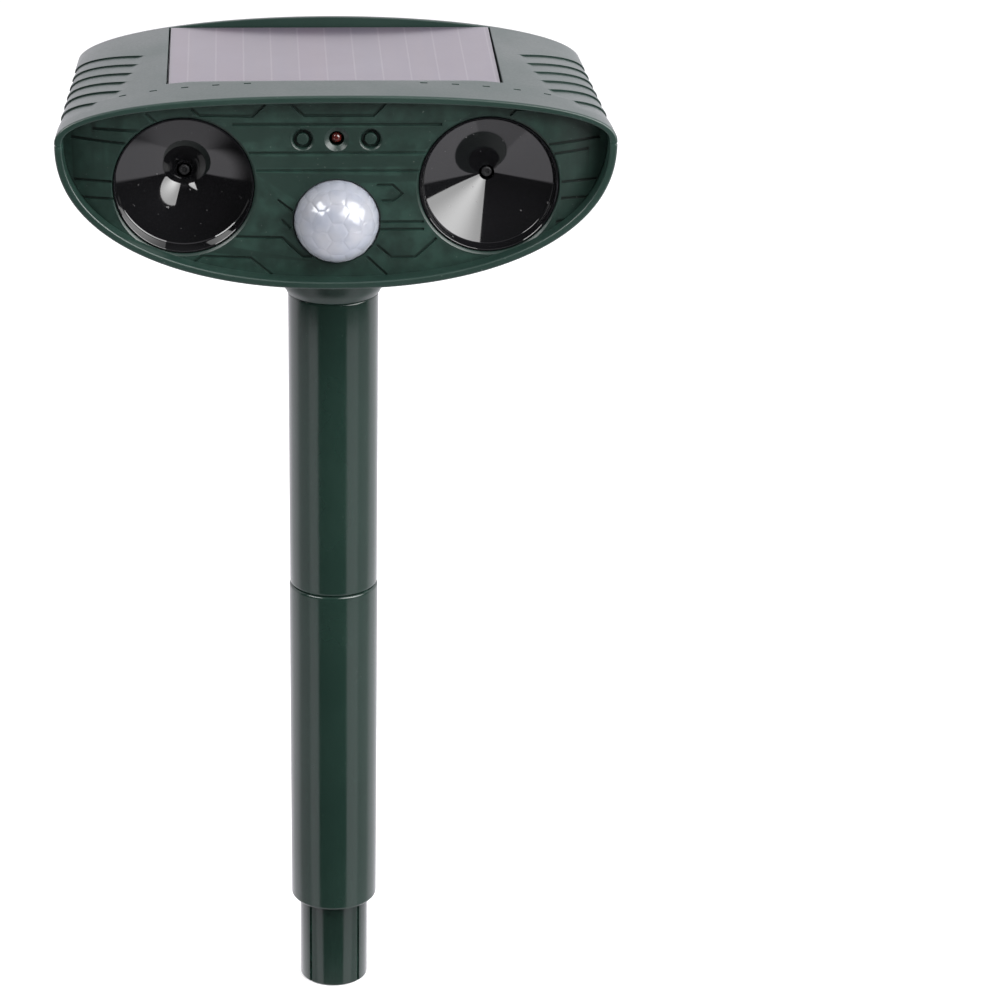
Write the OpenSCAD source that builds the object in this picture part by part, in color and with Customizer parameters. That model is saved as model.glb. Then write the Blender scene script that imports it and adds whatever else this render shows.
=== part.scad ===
// Solar ultrasonic pest repeller: a boat-shaped head on a two-section push-fit pole.
// Millimetres. +Z is up, the front of the head faces -Y, and the origin is on the pole's
// axis at the seat of the lowest spigot, where the next pole section or a ground spike butts.

/* [Pole] */
// Length of the lower pole section, from its seat to its top edge
lower_len = 102; // [80:1:160]
// Length of the upper pole section between the lower section and the head's collar
upper_len = 89.5; // [70:0.5:160]
// Outer radius of a section at its top edge
tube_top_r = 12.8; // [12.4:0.05:13.4]
// Outer radius of a section at its bottom edge, smaller by the moulding draft
tube_bottom_r = 12.65; // [12.3:0.05:13.4]
// Radius of the spigots that plug into the section below
spigot_r = 10; // [9.4:0.05:10.2]
// Length of each spigot
spigot_len = 27; // [20:1:35]

/* [Head] */
// Width of the head across its front rim
head_w = 150; // [146:1:160]
// Width of the head at its rear wall
rear_w = 142.6; // [140:0.2:146]
// Front rim's distance ahead of the pole's axis
rim_y = 45; // [44:1:50]
// Rear wall's distance behind the pole's axis
rear_y = 38; // [38:1:44]
// Height of the crown above the widest line
crown_h = 13.5; // [13:0.5:15]
// Depth of the keel below the widest line
keel_h = 40.7; // [40:0.1:43]
// Wall thickness of both casings behind the front panel
wall = 1.6; // [1.5:0.1:1.7]
// Thickness of the rim that frames the front panel
rim_wall = 2.1; // [1.9:0.1:2.4]
// How far the front panel sits behind the rim
panel_recess = 4.5; // [3:0.5:5]

/* [Solar panel] */
// Width of the solar panel
solar_w = 90; // [80:1:92]
// Depth of the solar panel from front to rear
solar_d = 60; // [50:1:60]
// Thickness of the solar panel
solar_t = 2.2; // [1.6:0.1:2.4]

/* [Speakers and sensor] */
// Distance of each speaker from the middle of the front panel
horn_x = 41; // [39:0.5:43]
// Radius of the two speaker openings
horn_hole_r = 19; // [17:0.5:19]
// Radius of the motion sensor's domed lens
dome_r = 11.6; // [10:0.1:12]
// Spacing of the indicator and the blanking plugs beside it
led_pitch = 9.1; // [8:0.1:11]

/* [Controls] */
// Distance of each rear knob from the middle
knob_x = 44; // [42:0.5:46]
// Radius of the rear knobs
knob_r = 7; // [6:0.25:7.5]

/* [Hidden] */
$fn = 96;
eps = 0.01;
fit_gap = 0.05;      // running clearance of the push fits and spindles

green = [0.09, 0.20, 0.16];
dark_green = [0.10, 0.23, 0.18];
gloss_black = [0.03, 0.03, 0.035];
black = [0.08, 0.08, 0.08];
silver = [0.78, 0.78, 0.80];
brass = [0.80, 0.62, 0.25];
board_green = [0.05, 0.30, 0.16];
milky = [0.92, 0.93, 0.95];

// Heights
joint_z = lower_len;                 // where the two pole sections meet
collar_z = lower_len + upper_len;    // where the upper section meets the head's collar
mid_z = collar_z + 56.3;             // widest line of the head, where the casings part
led_z = mid_z + 0.2;
horn_z = mid_z - 12.8;
dome_z = mid_z - 22.8;
solar_top_z = mid_z + 10.2;

// Pole details
bore_r = spigot_r + fit_gap;
bore_depth = spigot_len + 1.5;
spigot_bore_r = 7.8;
key_w = 0.9;
key_depth = 0.6;
key_clear = 0.1;

// Head outline: a superellipse above and another below the widest line
outline_points = 112;
front_crown_n = 2.45;
rear_crown_n = 1.97;
keel_n = 2.2;
rear_crown_h = crown_h - 0.5;
rear_keel_h = keel_h - 2.2;
rear_wall = 2.1;
rear_wall_in = rear_y - rear_wall;

// Front panel
panel_y = rim_y - panel_recess;      // distance of the panel's face ahead of the axis
panel_t = 2;
panel_end_drop = 3;                  // how far the panel's ends fall back
panel_flat_x = 56;
trace_w = 0.8;
trace_depth = 0.5;

// Solar pocket
adhesive_t = 0.4;
pocket_gap = 0.4;
pocket_z = solar_top_z - solar_t - adhesive_t;
pocket_floor_t = 2;
solar_front_y = 25;

// Side gills
gill_w = 1.3;
gill_depth = 1.0;
gill_y = [-32, -25.6, -17.2, -8.8, -0.4, 8];

// Driver train behind each horn
throat_r = 2.1;
horn_wall = 1.2;
driver_r = 15;
driver_front_y = -20.4;
driver_rear_y = -10;

// Battery bay
cell_r = 5.25;
cell_len = 43.7;
cell_z = [mid_z - 28.1, mid_z - 17.6, mid_z - 7.1];
cell_y = 29.6;
bay_half_w = 26.2;
bay_low_z = mid_z - 33.5;
bay_high_z = mid_z - 1.7;
door_half_w = 30;
door_low_z = mid_z - 33.8;
door_high_z = mid_z - 1.6;
door_screw_x = 28.2;
door_screw_z = mid_z - 17.6;

// Rear controls
knob_z = mid_z - 17.8;
knob_h = 6;
spindle_r = 2.95;
switch_x = -59;
switch_z = mid_z - 9;
port_x = 59;
port_z = mid_z - 8;
port_w = 8.6;
port_h = 3.9;
flap_axis_y = rear_y + 0.6;
flap_axis_z = port_z + 4.2;

// Screws that hold the casings together, from below: [x, y]
boss_at = [[-54, -5], [54, -5], [-33, 19], [33, 19]];
boss_r = 3.4;
boss_top_z = mid_z + 5;
board_z = mid_z - 26.8;
board_post_x = 23;
board_post_y = 4;

// ---------------------------------------------------------------- outline helpers

function sgn(v) = v < 0 ? -1 : 1;
function lerp(a, b, t) = a + (b - a) * t;
function depth_share(y) = (y + rim_y) / (rim_y + rear_y);
function lens_point(a, w, crown, keel, crown_n) =
    let (n = sin(a) >= 0 ? crown_n : keel_n, h = sin(a) >= 0 ? crown : keel)
    [w * sgn(cos(a)) * pow(abs(cos(a)), 2 / n), h * sgn(sin(a)) * pow(abs(sin(a)), 2 / n)];
function lens_outline(y, inset) =
    let (
        t = depth_share(y),
        w = lerp(head_w, rear_w, t) / 2 - inset,
        crown = lerp(crown_h, rear_crown_h, t) - inset,
        keel = lerp(keel_h, rear_keel_h, t) - inset,
        n = lerp(front_crown_n, rear_crown_n, t)
    )
    [for (i = [0 : outline_points - 1]) lens_point(360 * i / outline_points, w, crown, keel, n)];
function keel_z(x, y, inset) =
    let (
        t = depth_share(y),
        w = lerp(head_w, rear_w, t) / 2 - inset,
        keel = lerp(keel_h, rear_keel_h, t) - inset
    )
    mid_z - keel * pow(1 - pow(abs(x) / w, keel_n), 1 / keel_n);
function arc_points(cx, cy, r, a0, a1, n) =
    [for (i = [0 : n]) [cx + r * cos(lerp(a0, a1, i / n)), cy + r * sin(lerp(a0, a1, i / n))]];

// Cross-section of the head at depth y, drawn as a thin plate
module lens_plate(y, inset, t = eps) {
    translate([0, y + t, mid_z])
        rotate([90, 0, 0])
            linear_extrude(height = t)
                polygon(lens_outline(y, inset));
}

// Solid of the head between two depths, inset from the outer surface
module head_solid(inset, y0, y1) {
    hull() {
        lens_plate(y0, inset);
        lens_plate(y1 - eps, inset);
    }
}

// Hollow of the head: narrower at the rim, which holds the front panel in place
module head_cavity() {
    head_solid(rim_wall, -rim_y - 1, -panel_y + eps);
    head_solid(wall, -panel_y, rear_wall_in);
}

module box(x0, x1, y0, y1, z0, z1) {
    translate([x0, y0, z0])
        cube([x1 - x0, y1 - y0, z1 - z0]);
}

// Cylinder whose axis runs front to rear, from y0 to y1
module rod_y(x, z, y0, y1, r, r2 = undef) {
    translate([x, y0, z])
        rotate([-90, 0, 0])
            cylinder(h = y1 - y0, r1 = r, r2 = is_undef(r2) ? r : r2);
}

// Turned profile about a front-to-rear axis; points are [radius, y]
module turned_y(x, z, points) {
    translate([x, 0, z])
        rotate([-90, 0, 0])
            rotate_extrude()
                polygon(points);
}

module screw(len, head_r, head_h, shank_r) {
    difference() {
        union() {
            cylinder(h = head_h, r = head_r);
            translate([0, 0, head_h - eps])
                cylinder(h = len + eps, r = shank_r);
        }
        for (a = [0, 90])
            rotate([0, 0, a])
                translate([-head_r * 0.65, -0.35, -eps])
                    cube([head_r * 1.3, 0.7, head_h * 0.55]);
    }
}

// ---------------------------------------------------------------- pole

// Four grooves down the spigot that stop the sections turning
module spigot_keyways(z0, z1, w, depth) {
    for (a = [45, 135, 225, 315])
        rotate([0, 0, a])
            translate([spigot_r - depth, -w / 2, z0])
                cube([depth + 1, w, z1 - z0]);
}

module spigot(z_seat) {
    chamfer = 0.5;
    difference() {
        translate([0, 0, z_seat - spigot_len])
            rotate_extrude()
                polygon([
                    [spigot_bore_r, 0], [spigot_r - chamfer, 0], [spigot_r, chamfer],
                    [spigot_r, spigot_len + 0.5], [spigot_bore_r, spigot_len + 0.5]
                ]);
        spigot_keyways(z_seat - spigot_len - 1, z_seat - 0.4, key_w, key_depth);
    }
}

// One pole section: tapered tube with rounded ends, a keyed bore above and a spigot below
module pole_section(z0, len) {
    round_low = 1.0;
    round_top = 0.7;
    outer_at_low = lerp(tube_bottom_r, tube_top_r, round_low / len);
    difference() {
        translate([0, 0, z0])
            rotate_extrude()
                polygon(concat(
                    [[spigot_bore_r, 0]],
                    arc_points(outer_at_low - round_low, round_low, round_low, -90, 0, 8),
                    arc_points(tube_top_r - round_top, len - round_top, round_top, 0, 90, 8),
                    [[spigot_bore_r, len]]
                ));
        difference() {
            translate([0, 0, z0 + len - bore_depth])
                cylinder(h = bore_depth + 1, r = bore_r);
            spigot_keyways(z0 + len - bore_depth, z0 + len - 2, key_w - 2 * key_clear,
                           key_depth - key_clear);
        }
    }
    spigot(z0);
}

module lower_tube() {
    color(green)
        pole_section(0, lower_len);
}

module upper_tube() {
    color(green)
        pole_section(joint_z, upper_len);
}

// ---------------------------------------------------------------- casings

// Gills: shallow slots that wrap each end of the head
module gills() {
    for (y = gill_y) {
        first = y == gill_y[0];
        tip_x = first ? 63.4 : 57.1 - (y - gill_y[1]) * 0.16;
        low_tip_x = tip_x + 3;
        difference() {
            translate([0, y + gill_w / 2, mid_z])
                rotate([90, 0, 0])
                    linear_extrude(height = gill_w)
                        difference() {
                            polygon(lens_outline(y, -2));
                            polygon(lens_outline(y, gill_depth));
                        }
            box(-tip_x, tip_x, y - gill_w, y + gill_w, mid_z, mid_z + 30);
            box(-low_tip_x, low_tip_x, y - gill_w, y + gill_w, mid_z - 60, mid_z);
        }
    }
}

// Bosses that take the casing screws, clipped to the inside of the casing
module bosses(z0, z1) {
    for (p = boss_at)
        translate([p[0], p[1], z0])
            cylinder(h = z1 - z0, r = boss_r);
}

module top_shell() {
    color(green)
        difference() {
            union() {
                intersection() {
                    difference() {
                        head_solid(0, -rim_y, rear_y);
                        head_cavity();
                    }
                    box(-80, 80, -60, 60, mid_z, mid_z + 30);
                }
                intersection() {
                    head_solid(wall / 2, -panel_y, rear_y - wall / 2);
                    union() {
                        box(-solar_w / 2 - 2.4, solar_w / 2 + 2.4, -solar_front_y - 2.6,
                            rear_y, pocket_z - pocket_floor_t, mid_z + 30);
                        difference() {
                            bosses(mid_z, mid_z + 30);
                            box(-80, 80, -60, 60, pocket_z, mid_z + 40);
                        }
                    }
                }
            }
            // pocket for the solar panel, with a lead-in bevel along its front edge
            box(-solar_w / 2 - pocket_gap, solar_w / 2 + pocket_gap, -solar_front_y - pocket_gap,
                solar_d - solar_front_y + pocket_gap, pocket_z, mid_z + 30);
            translate([-solar_w / 2 - pocket_gap, 0, 0])
                rotate([90, 0, 90])
                    linear_extrude(height = solar_w + 2 * pocket_gap)
                        polygon([
                            [-solar_front_y, solar_top_z + 1.6],
                            [-solar_front_y - 6, mid_z + crown_h + 0.3],
                            [-solar_front_y, mid_z + crown_h + 3]
                        ]);
            gills();
            for (p = boss_at)
                translate([p[0], p[1], mid_z - 1])
                    cylinder(h = boss_top_z - mid_z - 1, r = 1.35);
        }
}

// Collar under the head: a tapered cup with a thin lip that meets the pole
module collar(z_top) {
    translate([0, 0, collar_z])
        rotate_extrude()
            polygon([
                [spigot_bore_r, 0], [12.85, 0], [13.15, 0.3], [14.3, 2.5], [14.5, 5],
                [15, 5.6], [15, z_top - collar_z], [spigot_bore_r, z_top - collar_z]
            ]);
}

module bottom_shell() {
    boss_low = mid_z - keel_h;
    color(green)
        difference() {
            union() {
                difference() {
                    intersection() {
                        head_solid(0, -rim_y, rear_y);
                        box(-80, 80, -60, 60, mid_z - 60, mid_z);
                    }
                    head_cavity();
                }
                intersection() {
                    head_solid(wall / 2, -panel_y, rear_y - wall / 2);
                    union() {
                        bosses(boss_low, mid_z);
                        for (x = [-board_post_x, board_post_x])
                            translate([x, board_post_y, boss_low])
                                cylinder(h = board_z - boss_low, r = 2.6);
                    }
                }
                collar(mid_z - keel_h + 4);
                spigot(collar_z);
            }
            gills();
            // groove for the seal between the casings
            seal_ring(0.85, 1.25);
            // screw holes, counterbored from below
            for (p = boss_at) {
                head_seat_z = keel_z(p[0], p[1], 0) + 5;
                translate([p[0], p[1], boss_low - 10])
                    cylinder(h = head_seat_z - boss_low + 10, r = 2.8);
                translate([p[0], p[1], boss_low])
                    cylinder(h = 60, r = 1.6);
            }
            for (x = [-board_post_x, board_post_x])
                translate([x, board_post_y, board_z - 6])
                    cylinder(h = 7, r = 0.95);
            // battery opening
            box(-bay_half_w, bay_half_w, rear_wall_in - 1, rear_y + 1, bay_low_z, bay_high_z);
            box(-door_half_w - 0.2, door_half_w + 0.2, rear_y - 1.9, rear_y + 1,
                door_low_z - 0.2, door_high_z + 0.2);
            for (x = [-door_screw_x, door_screw_x])
                rod_y(x, door_screw_z, rear_wall_in - 1, rear_y, 1.3);
            // knob bushings, switch slot and charging port
            for (x = [-knob_x, knob_x])
                rod_y(x, knob_z, rear_wall_in - 1, rear_y + 1, 3.7);
            box(switch_x - 1.7, switch_x + 1.7, rear_wall_in - 1, rear_y + 1,
                switch_z - 3.6, switch_z + 3.6);
            box(port_x - port_w / 2, port_x + port_w / 2, rear_wall_in - 1, rear_y + 1,
                port_z - port_h / 2, port_z + port_h / 2);
        }
}

// Ring that follows the parting line round the sides and rear
module seal_ring(w, h) {
    middle = wall / 2;
    half_front = head_w / 2;
    half_rear = rear_w / 2;
    y0 = -panel_y + 4;
    x0 = lerp(half_front, half_rear, depth_share(y0));
    difference() {
        translate([0, 0, mid_z - h])
            linear_extrude(height = h)
                polygon([
                    [-x0 + middle - w / 2, y0], [-half_rear + middle - w / 2, rear_y - middle + w / 2],
                    [half_rear - middle + w / 2, rear_y - middle + w / 2], [x0 - middle + w / 2, y0]
                ]);
        translate([0, 0, mid_z - h - 1])
            linear_extrude(height = h + 2)
                polygon([
                    [-x0 + middle + w / 2, y0 - 1], [-half_rear + middle + w / 2, rear_y - middle - w / 2],
                    [half_rear - middle - w / 2, rear_y - middle - w / 2], [x0 - middle - w / 2, y0 - 1]
                ]);
    }
}

module shell_seal() {
    color(black)
        seal_ring(0.75, 1.2);
}

// ---------------------------------------------------------------- front panel

// Engraved traces, as lists of [x, height from the widest line]; each is a chain of cuts
traces = [
    [[-38.5, 8.7], [-36.5, 7], [-22.5, 6.7], [-19.3, 9.8]],
    [[-11.7, 9.6], [-8.8, 6.9], [9.8, 6.8], [12.8, 10]],
    [[-27.5, 4.4], [27.9, 4.3]],
    [[-23.2, -3.5], [24, -3.6]],
    [[-21.3, -8.4], [23.2, -8.7]],
    [[11, -12.6], [15, -12.6], [17.6, -15.1], [15, -17], [12.3, -17]],
    [[12, -23], [23.2, -23]],
    [[11.5, -25.1], [23.3, -25.1]],
    [[11, -29.7], [14.7, -33], [21.1, -33], [26.7, -27.8]],
    [[8.3, -33], [13.4, -38]],
    [[-15.7, -16.8], [-12, -19.7]],
    [[-14.6, -22.4], [-12.5, -24.6]],
    [[-26.8, -27], [-14.6, -27.3], [-9, -32.7], [-6.9, -32.7]],
    [[-38.6, -34.1], [-36.5, -32.4], [-23.2, -33], [-17.7, -37.7]],
    [[-64.5, 3.3], [-52, 2.7]],
    [[-70.3, 0.6], [-55, -0.9]],
    [[-69.9, -11.1], [-60.4, -11.4]],
    [[-69.4, -16], [-59.9, -16.2]],
    [[-50.5, 7.4], [-47.8, 4.9]],
    [[57.1, -1.5], [70.5, 0]],
    [[58.7, -4.1], [67.5, -3.1]],
    [[60.8, -12.1], [70, -11.7]],
    [[60.8, -16.7], [69, -16.7]],
    [[59.5, -23.3], [64.6, -22.2]],
    [[46.4, 6.9], [47.8, 8.3], [53.6, 8.3]]
];

module trace(points) {
    for (i = [0 : len(points) - 2]) {
        a = points[i];
        b = points[i + 1];
        run = norm(b - a) + (i < len(points) - 2 ? trace_w / 2 : 0);
        translate([a[0], 0, mid_z + a[1]])
            rotate([0, -atan2(b[1] - a[1], b[0] - a[0]), 0])
                translate([0, -rim_y, -trace_w / 2])
                    cube([run, panel_recess + trace_depth + 4, trace_w]);
    }
}

// Side view of the panel from above: flat in the middle, its ends falling back
function panel_fall(x) = panel_end_drop * pow(max(abs(x) - panel_flat_x, 0) / 17, 1.6);
module panel_strip(front, t, z0, z1) {
    steps = 8;
    ends = [for (i = [0 : steps]) panel_flat_x + 19 * i / steps];
    xs = concat([for (i = [0 : steps]) -ends[steps - i]], ends);
    translate([0, 0, z0])
        linear_extrude(height = z1 - z0)
            polygon(concat(
                [for (x = xs) [x, front + panel_fall(x)]],
                [for (i = [1 : len(xs)]) [xs[len(xs) - i], front + t + panel_fall(xs[len(xs) - i])]]
            ));
}

module front_panel() {
    color(dark_green)
        difference() {
            intersection() {
                panel_strip(-panel_y, panel_t, mid_z - 45, mid_z + 20);
                translate([0, -rim_y + 12, mid_z])
                    rotate([90, 0, 0])
                        linear_extrude(height = 12)
                            polygon(lens_outline(-panel_y + 4, wall + 0.12));
            }
            for (x = [-horn_x, horn_x]) {
                rod_y(x, horn_z, -rim_y, -rim_y + 12, horn_hole_r);
                rod_y(x, horn_z, -panel_y - eps, -panel_y + 0.6, horn_hole_r + 0.6, horn_hole_r);
            }
            rod_y(0, dome_z, -rim_y, -rim_y + 12, dome_r + 0.15);
            // indicator: dished hole
            rod_y(0, led_z, -rim_y, -rim_y + 12, 2.05);
            rod_y(0, led_z, -panel_y - eps, -panel_y + 0.7, 3.3, 2.5);
            // blanking plugs
            for (x = [-led_pitch, led_pitch]) {
                rod_y(x, led_z, -rim_y, -rim_y + 12, 2.6);
                rod_y(x, led_z, -panel_y - eps, -panel_y + 0.5, 3.1, 2.6);
            }
            intersection() {
                panel_strip(-panel_y - 2, 2 + trace_depth, mid_z - 45, mid_z + 20);
                for (t = traces)
                    trace(t);
            }
        }
}

module blank_plugs() {
    color(dark_green)
        for (x = [-led_pitch, led_pitch]) {
            rod_y(x, led_z, -panel_y + panel_t, -panel_y + panel_t + 1, 3.6);
            rod_y(x, led_z, -panel_y + 1.2, -panel_y + panel_t + eps, 2.55);
            rod_y(x, led_z, -panel_y + 0.25, -panel_y + 1.2 + eps, 1.65);
        }
}

module status_led() {
    lead_x = 0.635;
    color([0.45, 0.06, 0.05])
        union() {
            turned_y(0, led_z, concat(
                [[0, -32.6], [1.9, -32.6], [1.9, -33.6], [1.5, -33.6]],
                [for (i = [0 : 7]) [1.5 * cos(90 * i / 8), -38 - 1.5 * sin(90 * i / 8)]],
                [[0, -39.5]]
            ));
            for (x = [-lead_x, lead_x])
                box(x - 0.2, x + 0.2, -32.8, -29.2, led_z - 0.2, led_z + 0.2);
        }
}

// ---------------------------------------------------------------- motion sensor

function dome_arc(r, centre_y, a0, a1, n) =
    [for (i = [0 : n]) [r * sin(lerp(a0, a1, i / n)), centre_y - r * cos(lerp(a0, a1, i / n))]];

module pir_lens() {
    centre_y = -panel_y + 1.6;
    skin = 0.8;
    flange_y = -panel_y + panel_t;
    color(milky)
        turned_y(0, dome_z, concat(
            dome_arc(dome_r, centre_y, 0, 90, 24),
            [[dome_r, flange_y], [13.2, flange_y], [13.2, flange_y + 1],
             [dome_r - skin, flange_y + 1]],
            dome_arc(dome_r - skin, centre_y, 90, 0, 24)
        ));
}

module pir_lens_ring() {
    y0 = -panel_y + panel_t + 1;
    color(black)
        turned_y(0, dome_z, [[dome_r - 0.8, y0], [13.2, y0], [13.2, y0 + 1.6], [dome_r - 0.8, y0 + 1.6]]);
}

module pir_sensor() {
    color(silver)
        difference() {
            turned_y(0, dome_z, [
                [0, -31], [4.9, -31], [4.9, -31.6], [4.55, -31.6], [4.55, -35.6], [4.2, -36], [0, -36]
            ]);
            box(-2, 2, -36.5, -35.7, dome_z - 1.5, dome_z + 1.5);
        }
}

module sensor_board() {
    color(board_green)
        difference() {
            box(-17, 17, -31, -29.4, mid_z - 34, mid_z + 4);
            for (x = [-0.635, 0.635])
                rod_y(x, led_z, -32, -28, 0.3);
        }
}

// ---------------------------------------------------------------- speakers

// Horn: short sleeve in the panel, bell, neck and rear flange. The bell profile is a list
// of [radius, y] points from the mouth to the throat.
module horn(x, sleeve_r, sleeve_end_y, bell) {
    sleeve_out = horn_hole_r - 0.15;
    flange_y = -panel_y + panel_t + 0.45;
    flange_r = horn_hole_r + 0.3;
    last = len(bell) - 1;
    outside = [for (i = [0 : last]) [bell[last - i][0] + horn_wall, bell[last - i][1] + horn_wall]];
    turned_y(x, horn_z, concat(
        [[sleeve_out, -panel_y + 0.5], [sleeve_r, -panel_y + 0.5], [bell[0][0], sleeve_end_y]],
        bell,
        [[throat_r, driver_front_y], [14, driver_front_y], [14, driver_front_y - 1.4],
         [throat_r + horn_wall + 1, driver_front_y - 1.4]],
        [for (p = outside) if (p[1] < driver_front_y - 1.5 && p[0] < sleeve_out - 0.4) p],
        [[sleeve_out, sleeve_end_y + horn_wall], [sleeve_out, flange_y + 1.2],
         [flange_r, flange_y + 1.2], [flange_r, flange_y], [sleeve_out, flange_y]]
    ));
}

bell_steps = 14;

// Left horn: flared like a trumpet
left_mouth_r = 18.2;
left_mouth_y = -33.5;
left_throat_y = -25.4;
left_bell = [for (i = [0 : bell_steps])
    let (u = i / bell_steps)
    [left_mouth_r * pow(throat_r / left_mouth_r, u), lerp(left_mouth_y, left_throat_y, u)]];

// Right horn: straight cone
right_mouth_r = 17.4;
right_mouth_y = -37.2;
right_throat_y = -29;
right_bell = [[right_mouth_r, right_mouth_y], [throat_r, right_throat_y]];

module horn_left() {
    color(gloss_black)
        horn(-horn_x, 18.35, left_mouth_y, left_bell);
}

module horn_right() {
    color(gloss_black)
        horn(horn_x, 18.35, right_mouth_y, right_bell);
}

module drive_pin(x, tip_y) {
    color(gloss_black)
        union() {
            rod_y(x, horn_z, tip_y, -15.6, 1.5);
            rod_y(x, horn_z, -16.2, -15.2, 2.4);
        }
}

module drive_pin_left() drive_pin(-horn_x, left_throat_y - 0.2);
module drive_pin_right() drive_pin(horn_x, right_throat_y + 0.6);

module diaphragm(x) {
    color([0.20, 0.20, 0.20])
        turned_y(x, horn_z, [
            [2.4, -16.2], [2.4, -15.4], [12.8, -18.6], [13.6, -18.6], [13.6, -19], [12.6, -19]
        ]);
}

module diaphragm_left() diaphragm(-horn_x);
module diaphragm_right() diaphragm(horn_x);

module piezo_disc(x) {
    color(brass)
        union() {
            rod_y(x, horn_z, -15.2, -14.9, 10.5);
            rod_y(x, horn_z, -14.9 - eps, -14.6, 7.5);
        }
}

module piezo_disc_left() piezo_disc(-horn_x);
module piezo_disc_right() piezo_disc(horn_x);

module driver_case(x) {
    color(black)
        turned_y(x, horn_z, [
            [13.7, driver_front_y], [driver_r, driver_front_y], [driver_r, driver_rear_y - 1],
            [driver_r - 1, driver_rear_y], [0, driver_rear_y], [0, driver_rear_y - 1.4],
            [13.2, driver_rear_y - 1.4], [13.2, -18.6], [13.7, -18.6]
        ]);
}

module driver_case_left() driver_case(-horn_x);
module driver_case_right() driver_case(horn_x);

// ---------------------------------------------------------------- solar panel

module solar_panel() {
    z0 = solar_top_z - solar_t;
    color([0.40, 0.38, 0.44])
        box(-solar_w / 2, solar_w / 2, -solar_front_y, solar_d - solar_front_y, z0, solar_top_z);
}

module solar_adhesive() {
    margin = 4;
    color([0.75, 0.75, 0.72])
        box(-solar_w / 2 + margin, solar_w / 2 - margin, -solar_front_y + margin,
            solar_d - solar_front_y - margin, pocket_z, pocket_z + adhesive_t);
}

// ---------------------------------------------------------------- electronics

module main_board() {
    color(board_green)
        difference() {
            box(-28, 28, -8, 15, board_z, board_z + 1.6);
            for (x = [-board_post_x, board_post_x])
                translate([x, board_post_y, board_z - 1])
                    cylinder(h = 4, r = 1.1);
        }
}

module board_screws() {
    color(silver)
        for (x = [-board_post_x, board_post_x])
            translate([x, board_post_y, board_z + 1.6 + 1.2])
                mirror([0, 0, 1])
                    screw(6, 2, 1.2, 0.9);
}

module controller_chip() {
    z0 = board_z + 1.6;
    color(black)
        union() {
            box(-5, 5, -3, 1, z0 + 0.2, z0 + 1.9);
            for (i = [0 : 7])
                box(-4.6 + i * 1.27, -4.2 + i * 1.27, -4, 2, z0, z0 + 0.5);
        }
}

module boost_coils() {
    z0 = board_z + 1.6;
    color([0.55, 0.33, 0.14])
        for (x = [-15, 15])
            translate([x, 6, z0])
                rotate_extrude()
                    polygon([[0, 0], [4.5, 0], [4.5, 1.2], [3.4, 1.6], [3.4, 6.4], [4.5, 6.8], [4.5, 8], [0, 8]]);
}

module capacitors() {
    z0 = board_z + 1.6;
    color([0.12, 0.16, 0.30])
        for (x = [-6, 6])
            translate([x, 9.5, z0])
                rotate_extrude()
                    polygon([[0, 0], [3.1, 0], [3.1, 0.8], [2.8, 1.1], [3.1, 1.4], [3.1, 10.6], [2.7, 11], [0, 11]]);
}

// ---------------------------------------------------------------- battery bay

module battery_holder() {
    color(black)
        difference() {
            intersection() {
                head_solid(wall + 0.25, -panel_y, rear_wall_in);
                box(-31.2, 31.2, 22.6, rear_wall_in, mid_z - 40, mid_z - 0.4);
            }
            box(-bay_half_w, bay_half_w, 24, rear_y, bay_low_z, bay_high_z);
            box(-40, -bay_half_w - 1.4, 20, 30, mid_z - 50, mid_z);
            box(bay_half_w + 1.4, 40, 20, 30, mid_z - 50, mid_z);
            for (x = [-door_screw_x, door_screw_x])
                rod_y(x, door_screw_z, 29, rear_y, 1.2);
        }
}

// The middle cell faces the other way
module battery_cell(i) {
    way = i == 1 ? -1 : 1;
    color(i == 1 ? [0.20, 0.45, 0.25] : [0.22, 0.50, 0.28])
        translate([way * (bay_half_w - 0.6), cell_y, cell_z[i]])
            rotate([0, -90 * way, 0])
                rotate_extrude()
                    polygon([
                        [0, 0], [1.9, 0], [1.9, 0.8], [cell_r - 0.3, 0.8], [cell_r, 1.1],
                        [cell_r, cell_len + 0.5], [cell_r - 0.3, cell_len + 0.8], [0, cell_len + 0.8]
                    ]);
}

module battery_cell_1() battery_cell(0);
module battery_cell_2() battery_cell(1);
module battery_cell_3() battery_cell(2);

// Conical contact springs, each turned as one ribbed solid
module battery_springs() {
    turns = 4;
    spring_len = 2 * bay_half_w - 1.2 - cell_len - 0.8;
    pitch = spring_len / turns;
    color(silver)
        for (i = [0 : 2]) {
            way = i == 1 ? 1 : -1;
            translate([way * (bay_half_w - 0.6), cell_y, cell_z[i]])
                rotate([0, -90 * way, 0])
                    rotate_extrude()
                        polygon(concat(
                            [[0, 0]],
                            [for (k = [0 : 2 * turns - 1])
                                [3.9 - 0.22 * k - (k % 2 == 0 ? 0 : 0.5), k * pitch / 2 + 0.01]],
                            [[2, spring_len], [0, spring_len]]
                        ));
        }
}

module contact_plates() {
    color(silver)
        for (z = cell_z)
            for (side = [-1, 1])
                translate([side * (bay_half_w - 0.3), cell_y, z])
                    cube([0.5, 8.6, 8.6], center = true);
}

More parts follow.
